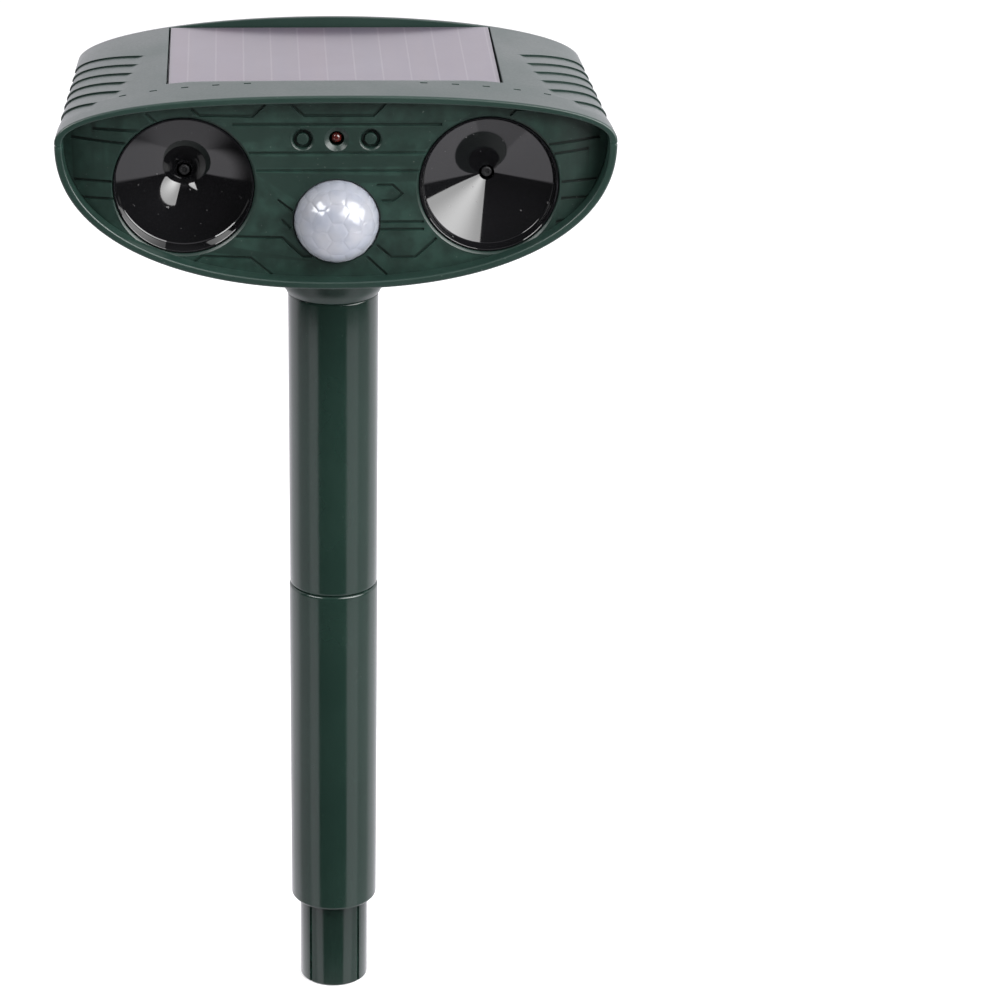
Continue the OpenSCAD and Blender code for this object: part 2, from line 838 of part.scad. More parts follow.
module battery_door() {
    color(green)
        difference() {
            union() {
                box(-door_half_w, door_half_w, rear_y - 1.8, rear_y, door_low_z, door_high_z);
                for (i = [-2 : 2])
                    box(-9, 9, rear_y - eps, rear_y + 0.5, door_screw_z + i * 2.4 - 0.5,
                        door_screw_z + i * 2.4 + 0.5);
            }
            for (x = [-door_screw_x, door_screw_x]) {
                rod_y(x, door_screw_z, rear_y - 3, rear_y + 1, 1.2);
                rod_y(x, door_screw_z, rear_y - 0.9, rear_y + 1, 1.75);
            }
            // keep the lower corners inside the rear outline
            difference() {
                box(-door_half_w - 1, door_half_w + 1, rear_y - 3, rear_y + 2, door_low_z - 1,
                    door_low_z + 4);
                for (x = [-door_half_w + 4, door_half_w - 4])
                    rod_y(x, door_low_z + 4, rear_y - 4, rear_y + 3, 4);
                box(-door_half_w + 4, door_half_w - 4, rear_y - 4, rear_y + 3, door_low_z - 2,
                    door_low_z + 5);
            }
        }
}

module door_screws() {
    color(silver)
        for (x = [-door_screw_x, door_screw_x])
            translate([x, rear_y + 0.1, door_screw_z])
                rotate([90, 0, 0])
                    screw(7.5, 1.65, 1, 1.1);
}

// ---------------------------------------------------------------- rear controls

module knob(x) {
    ribs = 18;
    face_y = rear_y + 0.4 + knob_h;
    color(black)
        difference() {
            turned_y(x, knob_z, [
                [0, rear_y + 0.4], [knob_r, rear_y + 0.4], [knob_r, face_y - 0.6],
                [knob_r - 0.6, face_y], [0, face_y]
            ]);
            for (i = [0 : ribs - 1])
                translate([x + (knob_r + 0.25) * cos(360 * i / ribs), rear_y + 1.4,
                           knob_z + (knob_r + 0.25) * sin(360 * i / ribs)])
                    rotate([-90, 0, 0])
                        cylinder(h = knob_h, r = 0.6, $fn = 16);
            rod_y(x, knob_z, rear_y, face_y - 1.2, spindle_r + 0.02);
            box(x - 0.4, x + 0.4, face_y - 0.5, face_y + 1, knob_z + 1.5, knob_z + knob_r - 0.9);
        }
}

module spindle(x) {
    color(silver)
        rod_y(x, knob_z, 30.6, rear_y + knob_h - 1, spindle_r);
}

// Rotary control: square body behind the wall with a bushing through it
module rotary_control(x) {
    color([0.25, 0.35, 0.55])
        difference() {
            union() {
                box(x - 6, x + 6, 30, rear_wall_in, knob_z - 6, knob_z + 6);
                rod_y(x, knob_z, rear_wall_in - 1, rear_y + 0.2, 3.6);
            }
            rod_y(x, knob_z, 30.5, rear_y + 1, spindle_r + fit_gap);
        }
}

module frequency_knob() knob(-knob_x);
module frequency_spindle() spindle(-knob_x);
module frequency_control() rotary_control(-knob_x);
module sensitivity_knob() knob(knob_x);
module sensitivity_spindle() spindle(knob_x);
module sensitivity_control() rotary_control(knob_x);

module switch_body() {
    color(silver)
        difference() {
            box(switch_x - 3, switch_x + 3, 31, rear_wall_in, switch_z - 5.6, switch_z + 5.6);
            box(switch_x - 1.7, switch_x + 1.7, 33, rear_y, switch_z - 3.6, switch_z + 3.6);
        }
}

// The slider rests low, at "on", and moves up to "off"
module power_switch() {
    low = switch_z - 3.3;
    color(black)
        union() {
            box(switch_x - 1.4, switch_x + 1.4, 33.4, rear_y + 1.4, low, low + 3.6);
            for (i = [0 : 2])
                box(switch_x - 1.4, switch_x + 1.4, rear_y + 1.4 - eps, rear_y + 1.8,
                    low + 0.3 + i * 1.2, low + 0.9 + i * 1.2);
        }
}

module charge_socket() {
    color(silver)
        difference() {
            box(port_x - 3.8, port_x + 3.8, 30, rear_wall_in - 0.2, port_z - 1.5, port_z + 1.5);
            box(port_x - 3.4, port_x + 3.4, 31, rear_y, port_z - 1.1, port_z + 1.1);
        }
}

// Rubber flap over the port: a round bead it turns on, a shallow plug and a finger tab
module charge_cover() {
    plug_gap = 0.35;
    color(black)
        union() {
            translate([port_x - 5, flap_axis_y, flap_axis_z])
                rotate([0, 90, 0])
                    cylinder(h = 10, r = 0.6);
            box(port_x - 6, port_x + 6, rear_y, rear_y + 1.2, port_z - 4, port_z + 4);
            box(port_x - port_w / 2 + plug_gap, port_x + port_w / 2 - plug_gap, rear_y - 1.2,
                rear_y + eps, port_z - port_h / 2 + plug_gap, port_z + port_h / 2 - plug_gap);
            box(port_x - 2.5, port_x + 2.5, rear_y + 0.2, rear_y + 2, port_z - 5, port_z - 3.6);
        }
}

// ---------------------------------------------------------------- casing screws

module housing_screws() {
    color(silver)
        for (p = boss_at) {
            seat_z = keel_z(p[0], p[1], 0) + 5;
            translate([p[0], p[1], seat_z - 1.8])
                screw(boss_top_z - 2 - seat_z, 2.6, 1.8, 1.3);
        }
}

// ---------------------------------------------------------------- selection

lower_tube();
upper_tube();
bottom_shell();
top_shell();
shell_seal();
front_panel();
solar_panel();
solar_adhesive();
horn_left();
horn_right();
drive_pin_left();
drive_pin_right();
diaphragm_left();
diaphragm_right();
piezo_disc_left();
piezo_disc_right();
driver_case_left();
driver_case_right();
pir_lens();
pir_lens_ring();
pir_sensor();
status_led();
blank_plugs();
sensor_board();
main_board();
controller_chip();
boost_coils();
capacitors();
board_screws();
battery_holder();
battery_cell_1();
battery_cell_2();
battery_cell_3();
battery_springs();
contact_plates();
battery_door();
door_screws();
frequency_knob();
frequency_spindle();
frequency_control();
sensitivity_knob();
sensitivity_spindle();
sensitivity_control();
power_switch();
switch_body();
charge_socket();
charge_cover();
housing_screws();
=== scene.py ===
import math

import bmesh
import bpy
import numpy as np
from mathutils import Matrix, Vector


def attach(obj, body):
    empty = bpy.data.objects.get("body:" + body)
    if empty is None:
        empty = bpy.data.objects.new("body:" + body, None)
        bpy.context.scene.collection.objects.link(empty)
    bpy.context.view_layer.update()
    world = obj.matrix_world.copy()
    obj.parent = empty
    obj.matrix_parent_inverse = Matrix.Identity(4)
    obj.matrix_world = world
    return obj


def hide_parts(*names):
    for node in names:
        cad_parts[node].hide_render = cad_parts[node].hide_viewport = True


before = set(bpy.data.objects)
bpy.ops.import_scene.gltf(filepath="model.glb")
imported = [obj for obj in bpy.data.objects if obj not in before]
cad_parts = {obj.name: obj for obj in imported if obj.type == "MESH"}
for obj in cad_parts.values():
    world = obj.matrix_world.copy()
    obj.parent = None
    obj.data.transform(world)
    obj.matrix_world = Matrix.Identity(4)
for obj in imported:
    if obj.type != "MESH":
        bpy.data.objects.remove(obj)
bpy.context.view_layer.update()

MM = 0.001
TAU = 2 * math.pi

# Places on the object in millimetres, as in the CAD part. The rim and the panel lie at -RIM_Y and -PANEL_Y
JOINT_Z = 102.0
COLLAR_Z = 191.5
MID_Z = 247.8
RIM_Y = 45.0
REAR_Y = 38.0
PANEL_Y = 40.5
HORN_X = 41.0
HORN_Z = 235.0
DOME_Z = 225.0
LED_Z = 248.0
PLUG_X = 9.1
SOLAR_TOP = 258.0
POCKET_Z = 255.4
ROOF_Z = 253.4
KNOB_X = 44.0
KNOB_Z = 230.0
CASE_WALL = 1.6
SPIGOT_R = 10.0
SPIGOT_BORE_R = 7.8
SPIGOT_LEN = 27.0
HATCH_SCREW_X = 28.2
HATCH_SCREW_Z = 230.2


# ---- mesh helpers

def placed(name, data):
    """A new object in the scene."""
    obj = bpy.data.objects.new(name, data)
    bpy.context.scene.collection.objects.link(obj)
    return obj


def mesh_object(name, points, faces, weld=False):
    """A new object from points in millimetres."""
    mesh = bpy.data.meshes.new(name)
    points = np.asarray(points, float) * MM
    mesh.from_pydata([tuple(p) for p in points], [], [tuple(f) for f in faces])
    mesh.validate()
    work = bmesh.new()
    work.from_mesh(mesh)
    if weld:
        bmesh.ops.remove_doubles(work, verts=work.verts, dist=1e-6)
    bmesh.ops.recalc_face_normals(work, faces=work.faces)
    work.to_mesh(mesh)
    work.free()
    return placed(name, mesh)


def merged(name, parts):
    """One object from several that don't touch."""
    points, faces = [], []
    for part in parts:
        start = len(points)
        points += [tuple(v.co / MM) for v in part.data.vertices]
        faces += [[start + i for i in p.vertices] for p in part.data.polygons]
        bpy.data.objects.remove(part)
    return mesh_object(name, points, faces)


def boolean(target, tool, operation):
    """Applies one boolean and removes the tool."""
    change = target.modifiers.new("change", "BOOLEAN")
    change.operation = operation
    change.solver = "MANIFOLD"
    change.object = tool
    graph = bpy.context.evaluated_depsgraph_get()
    made = bpy.data.meshes.new_from_object(target.evaluated_get(graph))
    target.modifiers.clear()
    old = target.data
    target.data = made
    bpy.data.meshes.remove(old)
    bpy.data.objects.remove(tool)
    if len(made.polygons) == 0:
        raise RuntimeError(f"{target.name}: a boolean left nothing")
    return target


def ring_faces(count, steps, start=0):
    """Faces between closed rings of points that follow one another in a list."""
    return [(start + i * steps + k, start + i * steps + (k + 1) % steps,
             start + (i + 1) * steps + (k + 1) % steps, start + (i + 1) * steps + k)
            for i in range(count - 1) for k in range(steps)]


def loft(name, rings):
    """A solid through closed rings of equal length, capped at both ends."""
    n, m = len(rings), len(rings[0])
    return mesh_object(name, np.concatenate(rings), ring_faces(n, m) + [range(m), range((n - 1) * m, n * m)])


def cut(target, tool):
    return boolean(target, tool, "DIFFERENCE")


def join(target, tool):
    return boolean(target, tool, "UNION")


def moved(profile, start, way=1):
    """A profile of (radius, distance) points placed along its axis."""
    return [(r, start + way * t) for r, t in profile]


def revolve(name, profile, centre, axis, steps):
    """Turns a closed profile of (radius, position) about an axis. centre is its other two coordinates."""
    points, faces, rings = [], [], []
    for r, t in profile:
        if r < 1e-6:
            rings.append([len(points)])
            points.append((0, 0, t))
        else:
            rings.append(list(range(len(points), len(points) + steps)))
            angles = [TAU * i / steps for i in range(steps)]
            points += [(r * math.cos(a), r * math.sin(a), t) for a in angles]
    for a, b in zip(rings, rings[1:] + rings[:1]):
        for i in range(steps):
            j = (i + 1) % steps
            if len(a) > 1 and len(b) > 1:
                faces.append((a[i], a[j], b[j], b[i]))
            elif len(a) > 1:
                faces.append((a[i], a[j], b[0]))
            elif len(b) > 1:
                faces.append((a[0], b[j], b[i]))
    u, v, t = np.array(points, float).T
    u, v = u + centre[0], v + centre[1]
    order = {"x": (t, u, v), "y": (u, t, v), "z": (u, v, t)}[axis]
    return mesh_object(name, np.stack(order, 1), faces)


def rounded(profile, radius, steps):
    """Rounds the corners of a closed profile, except those on its axis."""
    out, n = [], len(profile)
    for i in range(n):
        before, here, after = (np.array(profile[(i + k) % n], float) for k in (-1, 0, 1))
        if here[0] < 1e-6:
            out.append(tuple(here))
            continue
        u, v = before - here, after - here
        lu, lv = np.linalg.norm(u), np.linalg.norm(v)
        r = min(radius, lu * 0.45, lv * 0.45)
        a, b = here + u / lu * r, here + v / lv * r
        for k in range(steps + 1):
            t = k / steps
            out.append(tuple((1 - t) ** 2 * a + 2 * t * (1 - t) * here + t * t * b))
    return out


def soft_box(name, x0, x1, y0, y1, z0, z1, radius=0.0, steps=3):
    """A box with rounded edges."""
    work = bmesh.new()
    bmesh.ops.create_cube(work, size=1)
    for v in work.verts:
        v.co = Vector(((x0 + x1) / 2 + v.co.x * (x1 - x0), (y0 + y1) / 2 + v.co.y * (y1 - y0),
                       (z0 + z1) / 2 + v.co.z * (z1 - z0))) * MM
    if radius:
        bmesh.ops.bevel(work, geom=work.edges[:], offset=radius * MM, segments=steps, profile=0.5,
                        affect="EDGES")
    mesh = bpy.data.meshes.new(name)
    work.to_mesh(mesh)
    work.free()
    return placed(name, mesh)


def rod(name, x, z, y0, y1, r, edge=0.0, steps=64):
    """A cylinder that runs front to rear, with rounded ends if edge is given."""
    profile = [(0, y0), (r, y0), (r, y1), (0, y1)]
    return revolve(name, rounded(profile, edge, 4) if edge else profile, (x, z), "y", steps)


def finish_piece(obj, body, nodes, material, angle, weighted=True):
    """Smooth shading, material, CAD body and the CAD nodes that the piece stands for."""
    mesh = obj.data
    mesh.polygons.foreach_set("use_smooth", [True] * len(mesh.polygons))
    mesh.set_sharp_from_angle(angle=math.radians(angle))
    mesh.materials.clear()
    for m in material if isinstance(material, list) else [material]:
        mesh.materials.append(m)
    if weighted:
        even = obj.modifiers.new("even_normals", "WEIGHTED_NORMAL")
        even.keep_sharp = True
        even.weight = 60
    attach(obj, body)
    if nodes:
        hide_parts(*nodes)
    return obj


# ---- materials

class Tree:
    """A node tree being filled, with short ways to add the nodes that are used here."""

    def __init__(self, owner):
        owner.use_nodes = True
        self.tree = owner.node_tree
        self.tree.nodes.clear()

    def node(self, kind, values=None, **props):
        n = self.tree.nodes.new(kind)
        for key, value in props.items():
            setattr(n, key, value)
        for key, value in (values or {}).items():
            if isinstance(value, bpy.types.NodeSocket):
                self.tree.links.new(value, n.inputs[key])
            else:
                n.inputs[key].default_value = value
        return n

    def ramp(self, value, low, high, to_low=0.0, to_high=1.0, kind="LINEAR"):
        values = {"Value": value, "From Min": low, "From Max": high, "To Min": to_low, "To Max": to_high}
        return self.node("ShaderNodeMapRange", values, clamp=True, interpolation_type=kind).outputs[0]

    def math(self, operation, a, b=0.0):
        return self.node("ShaderNodeMath", {0: a, 1: b}, operation=operation).outputs[0]


class Shader(Tree):
    """A material being built: one Principled shader and the nodes that feed it."""

    def __init__(self, name, colour, roughness, **sockets):
        self.material = bpy.data.materials.new(name)
        super().__init__(self.material)
        values = {"Base Color": (*colour, 1), "Roughness": roughness}
        values.update((key.replace("_", " "), value) for key, value in sockets.items())
        self.bsdf = self.node("ShaderNodeBsdfPrincipled", values)
        self.node("ShaderNodeOutputMaterial", {"Surface": self.bsdf.outputs[0]})
        self.material.diffuse_color = (*colour, 1)
        self.place = self.node("ShaderNodeTexCoord").outputs["Object"]

    def finished(self, base, roughness, normal):
        """The material, with the three sockets that vary over its surface."""
        for name, socket in (("Base Color", base), ("Roughness", roughness), ("Normal", normal)):
            self.tree.links.new(socket, self.bsdf.inputs[name])
        return self.material

    def stretched(self, scale):
        return self.node("ShaderNodeMapping", {"Vector": self.place, "Scale": scale}).outputs[0]

    def noise(self, scale, detail, rough=0.5, where=None):
        values = {"Vector": where or self.place, "Scale": scale, "Detail": detail, "Roughness": rough}
        return self.node("ShaderNodeTexNoise", values).outputs["Fac"]

    def varied(self, value, low=0.0, high=1.0):
        """A noise value spread between two limits."""
        return self.ramp(value, 0.3, 0.7, low, high)

    def mix(self, amount, a, b):
        n = self.node("ShaderNodeMix", data_type="RGBA")
        for socket, value in ((n.inputs[0], amount), (n.inputs[6], a), (n.inputs[7], b)):
            if isinstance(value, bpy.types.NodeSocket):
                self.tree.links.new(value, socket)
            else:
                socket.default_value = (*value, 1) if isinstance(value, tuple) else value
        return n.outputs[2]

    def bump(self, height, distance, strength, below=None):
        values = {"Height": height, "Distance": distance, "Strength": strength}
        if below is not None:
            values["Normal"] = below
        return self.node("ShaderNodeBump", values).outputs[0]


def tinted(colour, factor):
    """A colour made lighter or darker."""
    return tuple(min(1.0, c * factor) for c in colour)


def moulded(name, colour, roughness, grain, grain_depth=0.00002, wave_depth=0.00002, edge=1.35, dust=0.25,
            spread=0.06):
    """Injection-moulded plastic: fine grain, slow waviness, paler edges (rubbed wear and painted highlight),
    painted shade in creases and a little dust.
    """
    s = Shader(name, colour, roughness)
    cloud = s.noise(38, 3)
    fine = s.noise(grain, 2, 0.6)
    # paler convex edges, speckled: partly rubbed wear, partly a painted edge highlight
    rubbed_and_lit_edge = s.ramp(s.node("ShaderNodeNewGeometry").outputs["Pointiness"], 0.515, 0.60)
    rubbed_and_lit_edge = s.math("MULTIPLY", rubbed_and_lit_edge, s.ramp(s.noise(260, 3), 0.35, 0.65))
    base = s.mix(s.varied(cloud), tinted(colour, 0.9), tinted(colour, 1.1))
    base = s.mix(s.math("MULTIPLY", rubbed_and_lit_edge, 0.5), base, tinted(colour, edge * 1.6))
    # painted shade: creases, grooves and inside corners darkened where occlusion would fall
    hollow = s.ramp(s.node("ShaderNodeNewGeometry").outputs["Pointiness"], 0.42, 0.485, 0.8, 0.0)
    base = s.mix(hollow, base, tinted(colour, 0.25))
    speck = s.ramp(s.noise(1500, 1, 0.4), 0.76, 0.80)
    base = s.mix(s.math("MULTIPLY", speck, dust), base, (0.30, 0.33, 0.31))
    uneven = s.math("ADD", s.varied(cloud, roughness - spread, roughness + spread), s.varied(fine, -0.02, 0.02))
    wave = s.bump(s.noise(55, 2), wave_depth * 8, 0.35)
    return s.finished(base, uneven, s.bump(fine, grain_depth, 0.5, wave))


def gloss(name, colour, roughness, dust, **sockets):
    """Polished plastic with a few specks of dust."""
    s = Shader(name, colour, roughness, **sockets)
    cloud = s.noise(60, 3)
    speck = s.ramp(s.noise(900, 1, 0.4), 0.76, 0.79)
    base = s.mix(s.varied(cloud), tinted(colour, 0.85), tinted(colour, 1.15))
    base = s.mix(s.math("MULTIPLY", speck, dust), base, (0.12, 0.12, 0.12))
    uneven = s.math("ADD", s.varied(cloud, roughness * 0.7, roughness * 1.3), s.math("MULTIPLY", speck, 0.3))
    return s.finished(base, uneven, s.bump(s.noise(70, 2), 0.00004, 0.3))


def metal(name, colour, roughness, brush=(1, 1, 1)):
    """Plated metal with fine brushing and slight tarnish."""
    s = Shader(name, colour, roughness, Metallic=1.0)
    tarnish = s.noise(120, 4)
    lines = s.noise(700, 3, 0.6, s.stretched(brush))
    base = s.mix(s.ramp(tarnish, 0.35, 0.75), colour, tinted(colour, 0.72))
    uneven = s.math("ADD", s.varied(tarnish, roughness - 0.05, roughness + 0.1), s.varied(lines, -0.05, 0.05))
    return s.finished(base, uneven, s.bump(lines, 0.00001, 0.5))


def board(name):
    """Circuit board: green solder mask over faint copper tracks."""
    s = Shader(name, (0.012, 0.10, 0.045), 0.35)
    bricks = s.node("ShaderNodeTexBrick", {
        "Vector": s.stretched((260, 260, 260)), "Scale": 1.0, "Mortar Size": 0.09,
        "Mortar": (0.03, 0.20, 0.07, 1), "Color1": (0.010, 0.085, 0.038, 1), "Color2": (0.014, 0.11, 0.05, 1)})
    base = s.mix(s.ramp(s.noise(90, 3), 0.35, 0.65), bricks.outputs["Color"], (0.012, 0.09, 0.04))
    uneven = s.varied(s.noise(400, 2), 0.28, 0.42)
    return s.finished(base, uneven, s.bump(bricks.outputs["Fac"], 0.00004, 0.4))


GREEN = (0.0085, 0.0225, 0.0175)
PANEL_GREEN = (0.0060, 0.0168, 0.0128)

shell_green = moulded("satin_green", GREEN, 0.36, grain=1300, grain_depth=0.000025, edge=1.7, dust=0.12,
                      spread=0.035)
panel_green = moulded("panel_green", PANEL_GREEN, 0.40, grain=1500, grain_depth=0.00003, edge=1.6, dust=0.15,
                      spread=0.03)
tube_green = moulded("gloss_green", (0.0075, 0.0190, 0.0145), 0.14, grain=1200, grain_depth=0.000006,
                     wave_depth=0.00003, edge=1.9, dust=0.05, spread=0.04)
horn_black = gloss("horn_black", (0.0040, 0.0040, 0.0045), 0.045, dust=0.3, Specular_IOR_Level=0.62)
matt_black = moulded("matt_black", (0.012, 0.012, 0.013), 0.5, grain=1200, grain_depth=0.00004, edge=2.2)
rubber = moulded("soft_rubber", (0.014, 0.014, 0.015), 0.68, grain=1600, grain_depth=0.00005, edge=1.8,
                 dust=0.4)
screw_metal = metal("zinc_screw", (0.62, 0.62, 0.64), 0.28)
spring_metal = metal("nickel_spring", (0.68, 0.66, 0.62), 0.25)
brass_metal = metal("brass_disc", (0.72, 0.50, 0.18), 0.28, brush=(1, 0.1, 1))
plain_metal = metal("steel_case", (0.58, 0.59, 0.60), 0.33, brush=(1, 1, 0.1))
copper_wire = metal("copper_winding", (0.72, 0.30, 0.12), 0.35, brush=(0.05, 0.05, 1))
circuit_board = board("circuit_board")
foam_white = moulded("foam_tape", (0.62, 0.62, 0.58), 0.85, grain=700, grain_depth=0.0001, edge=1.0, dust=0.0)
chip_black = moulded("chip_black", (0.010, 0.010, 0.011), 0.55, grain=2200, grain_depth=0.00003, edge=1.6,
                     dust=0.1)
sleeve_blue = moulded("capacitor_sleeve", (0.008, 0.016, 0.060), 0.3, grain=800, grain_depth=0.00001, dust=0.1)
control_blue = moulded("control_case", (0.020, 0.045, 0.110), 0.45, grain=1200, grain_depth=0.00003, dust=0.1)
cone_grey = moulded("paper_cone", (0.030, 0.030, 0.032), 0.75, grain=900, grain_depth=0.0001, dust=0.1)


def solar_material():
    """Thin-film cells under resin: narrow strips parted by fine scribed lines."""
    s = Shader("solar_cells", (0.12, 0.10, 0.125), 0.30, Coat_Weight=0.42, Coat_Roughness=0.22, Coat_IOR=1.5,
               Specular_IOR_Level=0.3)
    parts = s.node("ShaderNodeSeparateXYZ", {"Vector": s.place})
    first, width = -0.0398, 0.0076
    x = s.math("MULTIPLY", s.math("ADD", parts.outputs["X"], -first), 1 / width)
    near = s.math("ABSOLUTE", s.math("SUBTRACT", s.math("FRACT", s.math("ADD", x, 0.5)), 0.5))
    line = s.ramp(near, 0.018, 0.036, 1.0, 0.0)
    strip = s.node("ShaderNodeTexWhiteNoise", {"W": s.math("FLOOR", x)}, noise_dimensions="1D").outputs[0]
    cloud = s.noise(26, 4, 0.55)
    stretched = s.noise(150, 3, 0.6, s.stretched((1, 0.06, 1)))
    dark = s.mix(s.varied(cloud), (0.070, 0.056, 0.080), (0.086, 0.067, 0.086))
    dark = s.mix(s.ramp(strip, 0.0, 1.0, 0.0, 0.5), dark, (0.068, 0.062, 0.080))
    dark = s.mix(s.ramp(stretched, 0.4, 0.7, 0.0, 0.35), dark, (0.094, 0.074, 0.086))
    frame_x = s.ramp(s.math("ABSOLUTE", parts.outputs["X"]), 0.0441, 0.0443)
    edge_a = s.ramp(parts.outputs["Y"], -0.0241, -0.0243)
    edge_b = s.ramp(parts.outputs["Y"], 0.0341, 0.0343)
    border = s.math("MAXIMUM", frame_x, s.math("MAXIMUM", edge_a, edge_b))
    colour = s.mix(s.math("MULTIPLY", line, 0.22), dark, (0.20, 0.18, 0.19))
    base = s.mix(border, colour, (0.07, 0.06, 0.075))
    wave = s.bump(s.noise(45, 2), 0.00008, 0.25)
    return s.finished(base, s.varied(cloud, 0.28, 0.36), s.bump(line, 0.00002, 0.4, wave))


def dome_material():
    """Milky, slightly translucent polyethylene."""
    s = Shader("milky_lens", (0.25, 0.26, 0.30), 0.22, Subsurface_Weight=0.35, Subsurface_Scale=0.002,
               Coat_Weight=0.4, Coat_Roughness=0.12)
    s.bsdf.inputs["Subsurface Radius"].default_value = (1.0, 0.95, 0.9)
    cloud = s.noise(160, 3)
    base = s.mix(s.varied(cloud), (0.222, 0.236, 0.276), (0.262, 0.266, 0.290))
    return s.finished(base, s.varied(s.noise(500, 2), 0.17, 0.24), s.bump(s.noise(1400, 2, 0.6), 0.00002, 0.4))


def led_material():
    """Dark red clear plastic."""
    s = Shader("red_lens", (0.05, 0.006, 0.005), 0.12, Coat_Weight=0.5, Coat_Roughness=0.05)
    cloud = s.noise(900, 2)
    base = s.mix(s.varied(cloud), (0.035, 0.006, 0.005), (0.07, 0.009, 0.007))
    return s.finished(base, s.varied(cloud, 0.08, 0.18), s.bump(cloud, 0.00001, 0.3))


def cell_material(name, colour, band):
    """Printed sleeve of a rechargeable cell: one colour with a plain band near one end."""
    s = Shader(name, colour, 0.3)
    parts = s.node("ShaderNodeSeparateXYZ", {"Vector": s.place})
    inside = s.math("MULTIPLY", s.ramp(parts.outputs["X"], band[0], band[0] + 0.0001),
                    s.ramp(parts.outputs["X"], band[1], band[1] - 0.0001))
    cloud = s.noise(120, 3)
    plain = s.mix(s.varied(cloud), tinted(colour, 0.88), tinted(colour, 1.1))
    base = s.mix(inside, plain, (0.55, 0.55, 0.52))
    return s.finished(base, s.varied(cloud, 0.24, 0.36), s.bump(s.noise(400, 2), 0.00002, 0.4))


solar_cells = solar_material()
milky = dome_material()
red_lens = led_material()


# ---- head shape

def shape_at(y):
    """Half width, crown height, keel depth and crown exponent of the head's outline at a depth."""
    t = (y + RIM_Y) / (RIM_Y + REAR_Y)
    return 75.0 - 3.7 * t, 13.5 - 0.5 * t, 40.7 - 2.2 * t, 2.45 - 0.48 * t


KEEL_N = 2.2
ROW_GAP = 0.012
RIM_ROUND, REAR_ROUND = 0.7, 1.5
ROW_FRONT, ROW_REAR = RIM_ROUND - RIM_Y, REAR_Y - REAR_ROUND
# Gills: depth of each step, x of its tip on the crown and length of the ramp in front of it
GILLS = [(-32.0, 63.4, 7.5), (-25.6, 57.1, 6.2), (-17.2, 55.8, 8.2), (-8.8, 54.4, 8.2), (-0.4, 53.1, 8.2),
         (8.0, 51.7, 8.2)]
GILL_STEP = 0.55
# Distance in front of the step and share of its height there
GILL_SHAPE = [(0.0, 0.0), (0.04, 0.10), (0.10, 0.90), (0.16, 1.0), (0.5, 0.97)]
GILL_SLANT = 0.66


def smooth(t):
    t = np.clip(t, 0, 1)
    return t * t * (3 - 2 * t)


def gill_depth(y, along, tips):
    """How far the surface falls along a row: slow ramps that end in steps facing the front."""
    total = np.zeros_like(along)
    for (step_y, _, length), start in zip(GILLS, tips):
        q = step_y - y
        if not 0 <= q <= length:
            continue
        if q <= GILL_SHAPE[-1][0]:
            share = np.interp(q, [p[0] for p in GILL_SHAPE], [p[1] for p in GILL_SHAPE])
        else:
            share = GILL_SHAPE[-1][1] * ((length - q) / (length - GILL_SHAPE[-1][0])) ** 1.2
        total = np.maximum(total, GILL_STEP * share * smooth((along - start) / 3.0))
    return total


def gill_rows():
    """Depths of the rows that draw the gills: close together at each step and wide apart on its ramp."""
    rows = []
    for step_y, _, length in GILLS:
        rows += [step_y - q for q in (0, 0.04, 0.07, 0.10, 0.16, 0.3, 0.5)]
        rows += [step_y - 0.5 - (length - 0.5) * t for t in (0.12, 0.3, 0.5, 0.7, 0.85, 1.0)]
        rows += [step_y + 0.02, step_y + 0.25]
    return rows


def slanted(y, along, tips):
    """Where a row runs on the way down the side: the gills lean back, the rim and the rear stay straight."""
    tip = np.interp(y, [g[0] for g in GILLS], tips)
    lean = GILL_SLANT * np.maximum(along - tip, 0)
    fade = np.interp(y, [ROW_FRONT, GILLS[0][0], GILLS[-1][0], ROW_REAR], [0, 1, 1, 0])
    return y + lean * fade


def tidy_rows(values):
    """Sorted depths without near doubles."""
    out = []
    for v in sorted(values):
        if not out or v - out[-1] > ROW_GAP:
            out.append(v)
    return out


END_STEPS = 54
POCKET_COLUMNS = (45.36, 45.4, 45.47, 45.55, 45.65, 45.75, 46.6, 48.2)
MID_COLUMNS = sorted([3.0 * k for k in range(-15, 16)] + [v * side for side in (-1, 1) for v in POCKET_COLUMNS])


def side_way(x, z):
    """Distance along an outline from its first point."""
    steps = np.hypot(np.diff(x), np.diff(z))
    return np.concatenate([[0.0], np.cumsum(steps)])


def crown_row(y, inset):
    """Points of the crown on one row, from left to right."""
    w, crown, _, n = shape_at(y)
    a_start = math.acos((50 / w) ** (n / 2))
    a_seam = math.asin((0.3 / crown) ** (n / 2))
    k = np.arange(END_STEPS + 1)[::-1] / END_STEPS
    angles = a_seam + (a_start - a_seam) * k ** 1.05
    x = w * np.cos(angles) ** (2 / n)
    z = crown * np.sin(angles) ** (2 / n)
    way = side_way(x, z)
    tips = [np.interp(g[1], x, way) for g in GILLS]
    ys = slanted(y, way, tips)
    w2, crown2, _, n2 = shape_at(ys)
    delta = gill_depth(y, way, tips) + inset
    x = (w2 - delta) * np.cos(angles) ** (2 / n2)
    z = (crown2 - delta) * np.sin(angles) ** (2 / n2)
    end = np.array([[w2[-1] - delta[-1] - 0.28, ys[-1], 0.05]])
    side = np.stack([x, ys, z], 1)
    mid = np.array(MID_COLUMNS)
    mid_x = mid * (w - inset) / w
    mid_z = (crown - inset) * (1 - np.abs(mid / w) ** n) ** (1 / n)
    middle = np.stack([mid_x, np.full_like(mid, y), mid_z], 1)
    right = np.concatenate([side, end])
    left = (right * np.array([-1, 1, 1]))[::-1]
    return np.concatenate([left, middle, right])


